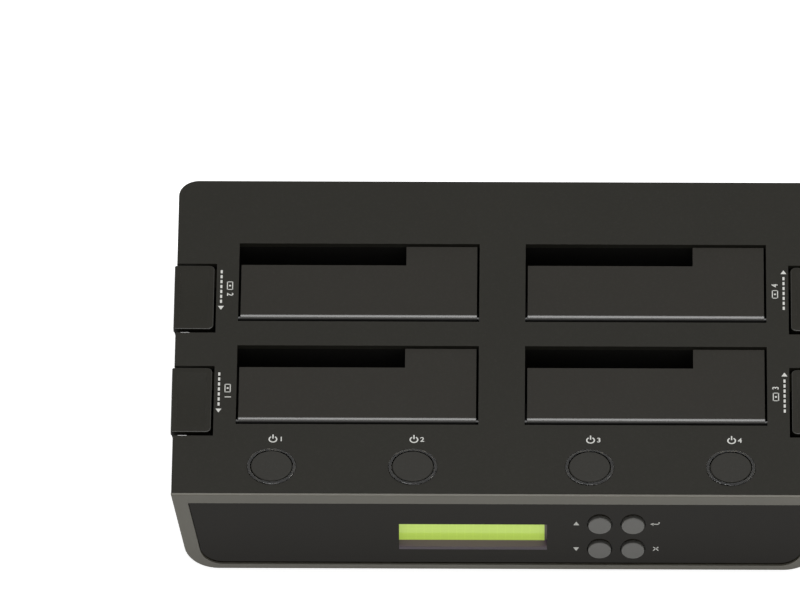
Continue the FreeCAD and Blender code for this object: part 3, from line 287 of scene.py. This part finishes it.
def moulding(name, base, drift, rubbed, roughness, grain_scale=3200.0, grain_depth=0.000012,
             wear=0.35, dust=0.05, polish=0.0, grime=0.0, **constants):
    """A moulded plastic: grain, then paler edges (rubbed wear, and on the keys a painted glint), then
    dust, with a coat on its curves and painted shade below them where asked.
    """
    material, tree, shader = new_material(name, **constants)
    grain = use_group(tree, grain_group, Colour=base, Drift_Colour=drift, Grain_Scale=grain_scale,
                      Grain_Depth=grain_depth, Roughness_Low=roughness[0], Roughness_High=roughness[1])
    wear_and_glint_node = use_group(tree, wear_and_glint_group, Rubbed_Colour=rubbed, Amount=wear)
    dusty = use_group(tree, dust_group, Amount=dust)
    join(tree, grain.outputs["Color"], wear_and_glint_node.inputs["Color"])
    join(tree, wear_and_glint_node.outputs["Color"], dusty.inputs["Color"])
    tone = dusty.outputs["Color"]
    if polish:
        # Coat on the curves, and painted shade in near black on the upright faces below them
        polish_and_shade = use_group(tree, polish_and_shade_group, Amount=polish, Grime=grime)
        join(tree, tone, polish_and_shade.inputs["Color"])
        join(tree, polish_and_shade.outputs["Coat Weight"], shader.inputs["Coat Weight"])
        shader.inputs["Coat Roughness"].default_value = 0.22
        shader.inputs["Coat IOR"].default_value = 1.6
        tone = polish_and_shade.outputs["Color"]
    dress(tree, shader, grain, tone)
    return material


def metal(name, base, line, stretch, roughness):
    material, tree, shader = new_material(name, Metallic=1.0)
    drawn = use_group(tree, metal_group, Colour=base, Line_Colour=line, Stretch=stretch,
                      Roughness_Low=roughness[0], Roughness_High=roughness[1])
    dress(tree, shader, drawn)
    return material


def clear_acrylic():
    """Light guide: clear, with faint flow lines from the moulding."""
    material, tree, shader = new_material("clear_acrylic", Transmission_Weight=1.0, IOR=1.49)
    flow = use_group(tree, grain_group, Colour=(0.24, 0.22, 0.17, 1.0),
                     Drift_Colour=(0.13, 0.12, 0.09, 1.0), Drift_Scale=400.0, Grain_Scale=900.0,
                     Grain_Depth=0.000016, Roughness_Low=0.02, Roughness_High=0.05)
    dress(tree, shader, flow)
    return material


def lit_display():
    """Yellow-green display glass, lit from behind, with the faint cells of its characters."""
    lit = colour(182, 210, 92)
    cell = colour(179, 207, 90)
    material, tree, shader = new_material("lit_display", Roughness=0.12, Emission_Strength=0.5)
    low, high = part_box("display_glass")
    split = add(tree, "ShaderNodeSeparateXYZ")
    flat = add(tree, "ShaderNodeCombineXYZ")
    centred = add(tree, "ShaderNodeMapping", vector_type="POINT")
    centred.inputs["Location"].default_value = (-(low.x + high.x) / 2, -(low.z + high.z) / 2, 0.0)
    join(tree, object_place(tree), split.inputs["Vector"])
    join(tree, split.outputs["X"], flat.inputs["X"])
    join(tree, split.outputs["Z"], flat.inputs["Y"])
    join(tree, flat.outputs["Vector"], centred.inputs["Vector"])
    cells = add(tree, "ShaderNodeTexBrick", offset=0.0, squash=1.0, inputs={
        "Color1": cell, "Color2": cell, "Mortar": lit, "Scale": 1.0, "Mortar Size": 0.3 * MM,
        "Mortar Smooth": 0.5, "Brick Width": 3.55 * MM, "Row Height": 5.95 * MM})
    join(tree, centred.outputs["Vector"], cells.inputs["Vector"])
    join(tree, cells.outputs["Color"], shader.inputs["Base Color"])
    join(tree, cells.outputs["Color"], shader.inputs["Emission Color"])
    return material


def solder_mask():
    """Green board with the pale lines of its copper tracks."""
    material, tree, shader = new_material("solder_mask", Roughness=0.3)
    tracks = add(tree, "ShaderNodeTexBrick", offset=0.37, squash=1.6, squash_frequency=3, inputs={
        "Color1": (0.006, 0.075, 0.03, 1.0), "Color2": (0.005, 0.06, 0.025, 1.0),
        "Mortar": (0.03, 0.2, 0.08, 1.0), "Scale": 1.0, "Mortar Size": 0.25 * MM,
        "Mortar Smooth": 0.2, "Brick Width": 7 * MM, "Row Height": 1.1 * MM})
    join(tree, object_place(tree), tracks.inputs["Vector"])
    dusty = use_group(tree, dust_group, Amount=0.1)
    join(tree, tracks.outputs["Color"], dusty.inputs["Color"])
    join(tree, dusty.outputs["Color"], shader.inputs["Base Color"])
    raised = add(tree, "ShaderNodeBump", inputs={"Distance": 0.03 * MM})
    join(tree, tracks.outputs["Fac"], raised.inputs["Height"])
    join(tree, raised.outputs["Normal"], shader.inputs["Normal"])
    return material


def flat_cable():
    """Grey ribbon cable with a groove between its wires, its colour darker towards each groove: painted
    shade.
    """
    material, tree, shader = new_material("flat_cable", Roughness=0.45)
    wires = add(tree, "ShaderNodeTexWave", wave_type="BANDS", bands_direction="X",
                inputs={"Scale": 1 / (3.2 * MM), "Distortion": 0.0})
    join(tree, object_place(tree), wires.inputs["Vector"])
    # Painted shade: dark in the groove between wires and light on each wire's top
    shades = add(tree, "ShaderNodeValToRGB")
    shades.color_ramp.elements[0].color = (0.16, 0.16, 0.17, 1.0)
    shades.color_ramp.elements[1].color = (0.42, 0.42, 0.43, 1.0)
    join(tree, wires.outputs["Fac"], shades.inputs["Fac"])
    join(tree, shades.outputs["Color"], shader.inputs["Base Color"])
    groove = add(tree, "ShaderNodeBump", inputs={"Distance": 0.15 * MM})
    join(tree, wires.outputs["Fac"], groove.inputs["Height"])
    join(tree, groove.outputs["Normal"], shader.inputs["Normal"])
    return material


def finishes():
    """Every material slot of the record with its finish."""
    body, body_drift, body_rubbed = colour(33, 32, 27), colour(36, 35, 30), colour(80, 78, 72)
    return {
        "cover_plastic": moulding(
            "cover_satin", body, body_drift, body_rubbed, (0.46, 0.58), dust=0.02,
            Specular_IOR_Level=0.11),
        "hull_plastic": moulding(
            "hull_satin", body, body_drift, body_rubbed, (0.46, 0.58), dust=0.02,
            Specular_IOR_Level=0.11),
        "bezel_plastic": moulding(
            # a mid grey that stands in for front light on the cover's dark plastic: painted light
            "bezel_painted_light", colour(100, 97, 87), colour(93, 91, 81), colour(150, 148, 142),
            (0.35, 0.45), grain_depth=0.000006),
        "panel_gloss": moulding(
            "panel_black", colour(21, 17, 7), colour(24, 20, 10), colour(70, 68, 62), (0.04, 0.09),
            grain_scale=900.0, grain_depth=0.000001, wear=0.2, dust=0.01, Specular_IOR_Level=0.14),
        "display_frame": moulding(
            "display_surround", colour(60, 57, 52), colour(66, 62, 56), colour(90, 88, 84),
            (0.35, 0.5)),
        "display_glass": lit_display(),
        "backlight": moulding(
            "backlight_white", (0.8, 0.82, 0.7, 1.0), (0.74, 0.76, 0.64, 1.0), (0.9, 0.9, 0.85, 1.0),
            (0.4, 0.5)),
        "circuit_board": solder_mask(),
        "switch_body": moulding(
            "switch_black", colour(30, 30, 32), colour(36, 36, 38), colour(70, 70, 70), (0.4, 0.55)),
        "clear_plastic": clear_acrylic(),
        "steel": metal("pin_steel", grey(0.09), grey(0.06), (0.1, 1.0, 1.0), (0.35, 0.5)),
        "spring_steel": metal(
            "spring_wire", (0.42, 0.41, 0.4, 1.0), grey(0.3), (1.0, 1.0, 1.0), (0.25, 0.4)),
        "screw_steel": metal(
            "screw_zinc", (0.5, 0.5, 0.48, 1.0), (0.36, 0.36, 0.35, 1.0), (1.0, 1.0, 0.2), (0.3, 0.5)),
        "socket_metal": metal("socket_tin", grey(0.62), grey(0.5), (0.15, 1.0, 1.0), (0.25, 0.4)),
        "connector_body": moulding(
            "connector_black", colour(28, 28, 28), colour(34, 34, 34), colour(70, 70, 70), (0.35, 0.5)),
        "ribbon": flat_cable(),
        "socket_plastic": moulding(
            "socket_black", colour(26, 26, 26), colour(32, 32, 32), colour(72, 72, 70), (0.3, 0.45)),
        "foot_rubber": moulding(
            "foot_rubber", colour(36, 36, 36), colour(44, 43, 42), colour(62, 61, 60), (0.75, 0.9),
            grain_scale=1800.0, grain_depth=0.00003),
        "liner_plastic": moulding(
            "liner_black", colour(12, 12, 10), colour(16, 15, 13), colour(40, 38, 36), (0.6, 0.75),
            Specular_IOR_Level=0.1),
        # Flap: painted shade, near black, on the barrel's lower front and upright sides, where the gap
        # around it lies in shade
        "flap_plastic": moulding(
            "flap_satin", colour(35, 33, 28), colour(38, 36, 31), colour(84, 82, 76), (0.4, 0.5),
            dust=0.02, polish=1.0, grime=0.9, Specular_IOR_Level=0.12),
        # Lever: painted shade, near black, on its upright faces
        "lever_plastic": moulding(
            "lever_satin", colour(26, 25, 18), colour(30, 28, 21), colour(80, 76, 72), (0.36, 0.46),
            dust=0.02, polish=0.5, grime=0.5, Specular_IOR_Level=0.12),
        "button_plastic": moulding(
            "button_satin", colour(42, 41, 37), colour(46, 45, 41), colour(84, 82, 78), (0.42, 0.52),
            dust=0.03, Specular_IOR_Level=0.12),
        # Keys: a mid grey that stands in for front light on a dark plastic: painted light
        "key_plastic": moulding(
            "key_grey", colour(101, 100, 96), colour(86, 85, 81), colour(184, 182, 176), (0.3, 0.42),
            # The keys' pale edge tone at full amount: a painted glint on their edges
            wear=1.0, polish=0.6),
        "rocker_plastic": moulding(
            "rocker_black", colour(26, 26, 26), colour(30, 30, 30), colour(76, 76, 74), (0.25, 0.4)),
    }


finish_of = finishes()
for node in nodes.values():
    for place in node.material_slots:
        place.material = finish_of[place.material.name.split(".")[0]]


# --- printed signs -----------------------------------------------------------------------------
INK_THICKNESS = 0.04 * MM
INK_SUNK = 0.01 * MM          # part of the ink's thickness that lies in the plastic's grain
DIGIT_SHARE = 0.72            # height of a digit as a share of the font's size
DIGIT_BOLDNESS = 0.05 * MM


def white_ink():
    material, tree, shader = new_material("white_ink")
    grain = use_group(tree, grain_group, Colour=colour(222, 222, 217), Drift_Colour=colour(206, 206, 200),
                      Drift_Scale=700.0, Grain_Scale=5000.0, Roughness_Low=0.45, Roughness_High=0.6)
    dress(tree, shader, grain)
    return material


ink = white_ink()


def new_piece(name, bm, materials):
    """A visible piece at the origin, made of the mesh that it uses up."""
    mesh = bpy.data.meshes.new(name)
    bm.to_mesh(mesh)
    bm.free()
    for material in materials:
        mesh.materials.append(material)
    piece = bpy.data.objects.new(name, mesh)
    bpy.context.scene.collection.objects.link(piece)
    return piece


def block(bm, middle, size, turn=0.0):
    """A box of this size, turned about its own middle."""
    made = bmesh.ops.create_cube(bm, size=1.0)["verts"]
    place = Matrix.Translation(middle) @ Matrix.Rotation(turn, 4, "Z") @ Matrix.Diagonal((*size, 1.0))
    bmesh.ops.transform(bm, matrix=place, verts=made)
    return made


def ink_bar(bm, x0, x1, y0, y1, turn=0.0):
    """A printed stroke, turned about its own middle."""
    block(bm, ((x0 + x1) / 2, (y0 + y1) / 2, 0.0), (x1 - x0, y1 - y0, INK_THICKNESS), turn)


def ink_arc(bm, x, y, radius, width, start, sweep, steps=28):
    """A printed ring or part of one, spun from its cross-section."""
    section = bmesh.ops.create_grid(bm, x_segments=1, y_segments=1, size=0.5)["verts"]
    stand = Matrix.Translation((radius, 0.0, 0.0)) @ Matrix.Rotation(math.pi / 2, 4, "X")
    size = Matrix.Diagonal((width, INK_THICKNESS, 1.0, 1.0))
    turn = Matrix.Translation((x, y, 0.0)) @ Matrix.Rotation(start, 4, "Z")
    bmesh.ops.transform(bm, matrix=turn @ stand @ size, verts=section)
    face = section[0].link_faces[0]
    whole = math.isclose(sweep, FULL_TURN)
    spun = bmesh.ops.spin(bm, geom=[face] + list(face.edges) + list(face.verts), cent=(x, y, 0.0),
                          axis=(0.0, 0.0, 1.0), angle=sweep, steps=steps, use_merge=whole)
    if whole:
        inner = [part for part in spun["geom_last"] if isinstance(part, bmesh.types.BMFace)]
        bmesh.ops.delete(bm, geom=inner, context="FACES_ONLY")


def ink_polygon(bm, x, y, radius, sides, turn=0.0):
    """A printed regular polygon, such as a triangle with its point up."""
    made = bmesh.ops.create_cone(bm, cap_ends=True, segments=sides, radius1=radius, radius2=radius,
                                 depth=INK_THICKNESS)["verts"]
    place = Matrix.Translation((x, y, 0.0)) @ Matrix.Rotation(turn, 4, "Z")
    bmesh.ops.transform(bm, matrix=place, verts=made)


def ink_digit(bm, text, x, y, height):
    """A plain number, its middle at x and y."""
    curve = bpy.data.curves.new("digit", "FONT")
    curve.body = text
    curve.align_x = "CENTER"
    curve.align_y = "CENTER"
    curve.size = height / DIGIT_SHARE
    curve.extrude = INK_THICKNESS / 2
    curve.offset = DIGIT_BOLDNESS
    carrier = bpy.data.objects.new("digit", curve)
    bpy.context.scene.collection.objects.link(carrier)
    mesh = bpy.data.meshes.new_from_object(carrier.evaluated_get(bpy.context.evaluated_depsgraph_get()))
    mesh.transform(Matrix.Translation((x, y, 0.0)))
    bm.from_mesh(mesh)
    bpy.data.objects.remove(carrier)
    bpy.data.meshes.remove(mesh)


def print_sign(name, bm, place, body="chassis"):
    """Turn the strokes into one piece, lay it at its place and let it ride on a body."""
    bmesh.ops.remove_doubles(bm, verts=bm.verts, dist=0.001 * MM)
    bmesh.ops.recalc_face_normals(bm, faces=bm.faces)
    lift = Matrix.Translation((0.0, 0.0, INK_THICKNESS / 2 - INK_SUNK))
    bmesh.ops.transform(bm, matrix=place @ lift, verts=bm.verts)
    sign = new_piece(name, bm, [ink])
    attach(sign, body)


def power_symbol(bm, radius, stroke):
    """An open ring with a bar through its gap."""
    half_gap = math.radians(30)
    ink_arc(bm, 0.0, 0.0, radius, stroke, math.pi / 2 + half_gap, FULL_TURN - 2 * half_gap)
    ink_bar(bm, -stroke / 2, stroke / 2, radius * 0.25, radius * 1.7)


def drive_symbol(bm, x, y):
    """The outline of a drive, with its hub."""
    half_length, half_width, half_stroke = 2.5 * MM, 1.3 * MM, 0.2 * MM
    rail, hub_radius = 1.15 * MM, 0.5 * MM
    for side in (-1, 1):
        rail_y = y + side * rail
        end_x = x + side * (half_length - half_stroke)
        ink_bar(bm, x - half_length, x + half_length, rail_y - half_stroke, rail_y + half_stroke)
        ink_bar(bm, end_x - half_stroke, end_x + half_stroke, y - half_width, y + half_width)
    ink_polygon(bm, x, y, hub_radius, 16)


def button_signs():
    """The power symbol and the number of the bay, behind each power button."""
    right_of_button, behind_button = 0.4 * MM, 16.2 * MM
    for number in (1, 2, 3, 4):
        low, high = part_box(f"power_button_{number}")
        middle = (low + high) / 2
        bm = bmesh.new()
        power_symbol(bm, 1.65 * MM, 0.58 * MM)
        ink_digit(bm, str(number), 3.6 * MM, 0.0, 2.7 * MM)
        place = Matrix.Translation((middle.x + right_of_button, middle.y + behind_button, top_z))
        print_sign(f"sign_power_{number}", bm, place)


def lever_signs():
    """Beside each lever: a drive and its number on one line, and a dashed arrow on the other."""
    inward, forward = 17.6 * MM, 0.9 * MM              # from the lever's outer end and its middle
    near_line, far_line = 3.1 * MM, 6.9 * MM
    dashes, dash, pitch, stroke = 7, 1.9 * MM, 3.0 * MM, 0.9 * MM
    first_dash, arrow = -11.5 * MM, 11.0 * MM
    for number in (1, 2, 3, 4):
        low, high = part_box(f"eject_lever_{number}")
        side = -1 if low.x < 0 else 1
        inner_x = low.x + inward if side < 0 else high.x - inward
        bm = bmesh.new()
        for index in range(dashes):
            start = first_dash + index * pitch
            ink_bar(bm, start, start + dash, near_line - stroke / 2, near_line + stroke / 2)
        ink_polygon(bm, arrow, near_line, 1.5 * MM, 3, -math.pi / 2)
        ink_digit(bm, str(number), 3.2 * MM, far_line, 2.8 * MM)
        drive_symbol(bm, -2.1 * MM, far_line)
        turn = Matrix.Rotation(side * math.pi / 2, 4, "Z")
        place = Matrix.Translation((inner_x, (low.y + high.y) / 2 - forward, top_z)) @ turn
        print_sign(f"sign_lever_{number}", bm, place)


def key_signs():
    """Signs beside the menu keys: up, down, return and cancel."""
    panel_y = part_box("control_panel")[0].y
    size, half_stroke = 1.5 * MM, 0.25 * MM
    for name in ("up", "down", "enter", "escape"):
        low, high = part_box(f"key_{name}")
        middle = (low + high) / 2
        bm = bmesh.new()
        if name == "up":
            ink_polygon(bm, 0.0, 0.0, size, 3)
        elif name == "down":
            ink_polygon(bm, 0.0, 0.0, size, 3, math.pi)
        elif name == "enter":
            ink_bar(bm, -1.4 * MM, 1.6 * MM, -half_stroke, half_stroke)
            ink_bar(bm, 1.1 * MM, 1.6 * MM, -half_stroke, 1.3 * MM)
            ink_polygon(bm, -1.5 * MM, 0.0, 1.0 * MM, 3, math.pi / 2)
        else:
            for turn in (math.pi / 4, -math.pi / 4):
                ink_bar(bm, -1.6 * MM, 1.6 * MM, -half_stroke, half_stroke, turn)
        shift = -10.2 * MM if name in ("up", "down") else 10.0 * MM
        upright = Matrix.Rotation(math.pi / 2, 4, "X")
        place = Matrix.Translation((middle.x + shift, panel_y, middle.z)) @ upright
        print_sign(f"sign_key_{name}", bm, place)


def rocker_signs():
    """On and off marks, pressed onto the two slopes of the power switch."""
    from_middle, reach = 4.2 * MM, 20 * MM
    low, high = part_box("rocker")
    middle = (low + high) / 2
    for name, offset in (("on", -from_middle), ("off", from_middle)):
        start = Vector((middle.x + offset, high.y + reach, middle.z))
        point, normal = nodes["rocker"].ray_cast(start, Vector((0.0, -1.0, 0.0)))[1:3]
        bm = bmesh.new()
        if name == "on":
            ink_bar(bm, -0.3 * MM, 0.3 * MM, -1.6 * MM, 1.6 * MM)
        else:
            ink_arc(bm, 0.0, 0.0, 1.4 * MM, 0.5 * MM, 0.0, FULL_TURN)
        facing = normal.to_track_quat("Z", "Y").to_matrix().to_4x4()
        print_sign(f"sign_rocker_{name}", bm, Matrix.Translation(point) @ facing, "rocker")


button_signs()
lever_signs()
key_signs()
rocker_signs()


# --- contacts and window trim ------------------------------------------------------------------
TONGUE_HALF = 0.3 * MM
DATA_CONTACTS, POWER_CONTACTS = 7, 15
CONTACT_PITCH = 1.27 * MM
CONTACT_GROUP_GAP = 1.4 * MM                  # each group's shift away from the key between them
CONTACT_WIDTH, CONTACT_LENGTH = 0.8 * MM, 3.4 * MM
CONTACT_PROUD = 0.05 * MM
CONTACT_DROP = 0.5 * MM


def sata_contacts():
    """Gilt contacts on the tongue of each drive connector: seven for data, fifteen for power."""
    low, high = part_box("sata_connectors")
    centre = (low + high) / 2
    places = [vertex.co for vertex in nodes["sata_connectors"].data.vertices]
    size = (CONTACT_WIDTH, 2 * CONTACT_PROUD, CONTACT_LENGTH)
    z = high.z - CONTACT_DROP - CONTACT_LENGTH / 2
    last = DATA_CONTACTS + POWER_CONTACTS - 1
    bm = bmesh.new()
    for right in (False, True):
        for behind in (False, True):
            own = [co for co in places if (co.x > centre.x) == right and (co.y > centre.y) == behind]
            x = (min(co.x for co in own) + max(co.x for co in own)) / 2
            y = (min(co.y for co in own) + max(co.y for co in own)) / 2 - TONGUE_HALF
            for index in range(last + 1):
                shift = -CONTACT_GROUP_GAP if index < DATA_CONTACTS else CONTACT_GROUP_GAP
                block(bm, (x + (index - last / 2) * CONTACT_PITCH + shift, y, z), size)
    gilt = metal(
        "contact_gilt", (0.75, 0.52, 0.2, 1.0), (0.6, 0.4, 0.14, 1.0), (1.0, 1.0, 0.1), (0.2, 0.35))
    contacts = new_piece("sata_contacts", bm, [gilt])
    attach(contacts, "chassis")


WINDOW_MIDDLE = (-12.2 * MM, 24.3 * MM)       # along X and Z
WINDOW_HALF = (32.25 * MM, 7.2 * MM)
LIP_DROP = 1.5 * MM
LIP_PROUD = 0.12 * MM
JAMB_WIDTH = 1.1 * MM


def trim_plastic(name, base, drift, rubbed):
    return moulding(name, base, drift, rubbed, (0.3, 0.42), Specular_IOR_Level=0.3)


def display_sill():
    """Lip, ledge and right jamb of the display window, in the paler plastic that frames the glass; the
    ledge and the jamb are lighter copies of the lip's plastic: painted light.
    """
    glass_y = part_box("display_glass")[0].y
    panel_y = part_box("control_panel")[0].y
    left, right = WINDOW_MIDDLE[0] - WINDOW_HALF[0], WINDOW_MIDDLE[0] + WINDOW_HALF[0]
    bottom, top = WINDOW_MIDDLE[1] - WINDOW_HALF[1], WINDOW_MIDDLE[1] + WINDOW_HALF[1]
    lip = ((left, panel_y - LIP_PROUD, bottom - LIP_DROP), (right, panel_y, bottom + LIP_PROUD))
    ledge = ((left, panel_y, bottom), (right, glass_y, bottom + LIP_PROUD))
    jamb = ((right - JAMB_WIDTH, glass_y - LIP_PROUD, bottom), (right, glass_y, top))
    bm = bmesh.new()
    for shade, (low, high) in enumerate((lip, ledge, jamb)):
        low, high = Vector(low), Vector(high)
        made = block(bm, (low + high) / 2, high - low)
        for face in {face for vert in made for face in vert.link_faces}:
            face.material_index = shade
    sill = new_piece("display_sill", bm, [
        trim_plastic("sill_grey", colour(84, 74, 84), colour(78, 70, 78), colour(110, 106, 104)),
        # ledge and jamb: lighter copies of the lip's plastic, painted light
        trim_plastic("ledge_painted_light", colour(136, 112, 146), colour(128, 106, 138), colour(150, 140, 150)),
        trim_plastic("jamb_painted_light", colour(138, 132, 122), colour(126, 122, 112), colour(170, 168, 160)),
    ])
    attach(sill, "chassis")


sata_contacts()
display_sill()


# --- stage and light ---------------------------------------------------------------------------
FLOOR_DROP = 0.1 * MM         # so that the feet's undersides don't lie in the floor
FLOOR_REACH = 4.0             # from the middle to each edge


def white_stage(tree):
    """One for camera, mirror and glass rays, which see the stage plain white."""
    rays = add(tree, "ShaderNodeLightPath")
    direct = add(tree, "ShaderNodeMath", operation="MAXIMUM")
    shown = add(tree, "ShaderNodeMath", operation="MAXIMUM")
    join(tree, rays.outputs["Is Camera Ray"], direct.inputs[0])
    join(tree, rays.outputs["Is Glossy Ray"], direct.inputs[1])
    join(tree, direct.outputs["Value"], shown.inputs[0])
    join(tree, rays.outputs["Is Transmission Ray"], shown.inputs[1])
    return shown.outputs["Value"]


def mix_shader(tree, factor, first, second):
    mixer = add(tree, "ShaderNodeMixShader")
    join(tree, factor, mixer.inputs["Fac"])
    join(tree, first, mixer.inputs[1])
    join(tree, second, mixer.inputs[2])
    return mixer.outputs["Shader"]


def floor_paper():
    """White paper, which glows to what sees the stage white, and which is clear from below."""
    material, tree, shader = new_material("floor_paper", Roughness=0.9, Specular_IOR_Level=0.0)
    shader.inputs["Base Color"].default_value = grey(0.8)
    paper = shader.outputs["BSDF"]
    glow = add(tree, "ShaderNodeEmission", inputs={"Strength": 0.85})
    glowing = add(tree, "ShaderNodeAddShader")
    join(tree, paper, glowing.inputs[0])
    join(tree, glow.outputs["Emission"], glowing.inputs[1])
    upper = mix_shader(tree, white_stage(tree), paper, glowing.outputs["Shader"])
    clear = add(tree, "ShaderNodeBsdfTransparent").outputs["BSDF"]
    below = add(tree, "ShaderNodeNewGeometry").outputs["Backfacing"]
    join(tree, mix_shader(tree, below, upper, clear), tree.nodes["Material Output"].inputs["Surface"])
    return material


def make_floor():
    bm = bmesh.new()
    bmesh.ops.create_grid(bm, x_segments=1, y_segments=1, size=FLOOR_REACH)
    bmesh.ops.translate(bm, vec=(0.0, 0.0, -FLOOR_DROP), verts=bm.verts)
    floor = new_piece("floor", bm, [floor_paper()])


def make_world():
    """White to the camera, mirrors and glass; a soft grey sky to everything that it lights."""
    world = bpy.data.worlds.new("studio")
    world.use_nodes = True
    bpy.context.scene.world = world
    tree = world.node_tree
    sky = tree.nodes["Background"]
    sky.inputs["Color"].default_value = grey(1.0)
    sky.inputs["Strength"].default_value = 0.25
    white = add(tree, "ShaderNodeBackground", inputs={"Color": grey(1.0), "Strength": 1.0})
    chosen = mix_shader(tree, white_stage(tree), sky.outputs["Background"], white.outputs["Background"])
    join(tree, chosen, tree.nodes["World Output"].inputs["Surface"])


def soft_box(name, place, aim, width, height, level):
    """An area lamp. Its level is the share of full white that it alone gives a white sheet at the aim."""
    direction = Vector(aim) - Vector(place)
    lamp = bpy.data.lights.new(name, "AREA")
    lamp.shape = "RECTANGLE"
    lamp.size = width
    lamp.size_y = height
    lamp.energy = level * math.pi ** 2 * direction.length_squared
    stand = bpy.data.objects.new(name, lamp)
    stand.location = place
    stand.rotation_mode = "QUATERNION"
    stand.rotation_quaternion = direction.to_track_quat("-Z", "Y")
    bpy.context.scene.collection.objects.link(stand)


middle_of_top = ((cad_low.x + cad_high.x) / 2, (cad_low.y + cad_high.y) / 2, cad_high.z)
make_floor()
make_world()
soft_box("overhead", (0.1, 0.24, 1.33), middle_of_top, 0.9, 0.9, 0.68)
soft_box("front", (0.3, -1.5, 0.8), middle_of_top, 2.0, 1.2, 0.2)


# --- camera ------------------------------------------------------------------------------------
def make_camera():
    """A long lens from the front, looking down on the top."""
    aim = Vector((-0.0450, 0.02096, top_z))
    distance = 6.924
    turn = math.radians(0.860)
    elevation = math.radians(46.34)
    roll = math.radians(-0.43)
    pose = (Matrix.Rotation(turn, 4, "Z") @ Matrix.Rotation(math.pi / 2 - elevation, 4, "X")
            @ Matrix.Rotation(roll, 4, "Z"))
    lens = bpy.data.cameras.new("camera")
    lens.sensor_width = 36.0
    lens.lens = 708.5
    lens.clip_end = 100.0
    camera = bpy.data.objects.new("camera", lens)
    camera.matrix_world = Matrix.Translation(aim + pose.to_3x3() @ Vector((0.0, 0.0, distance))) @ pose
    bpy.context.scene.collection.objects.link(camera)
    bpy.context.scene.camera = camera


make_camera()
bpy.context.scene.view_settings.view_transform = "Standard"
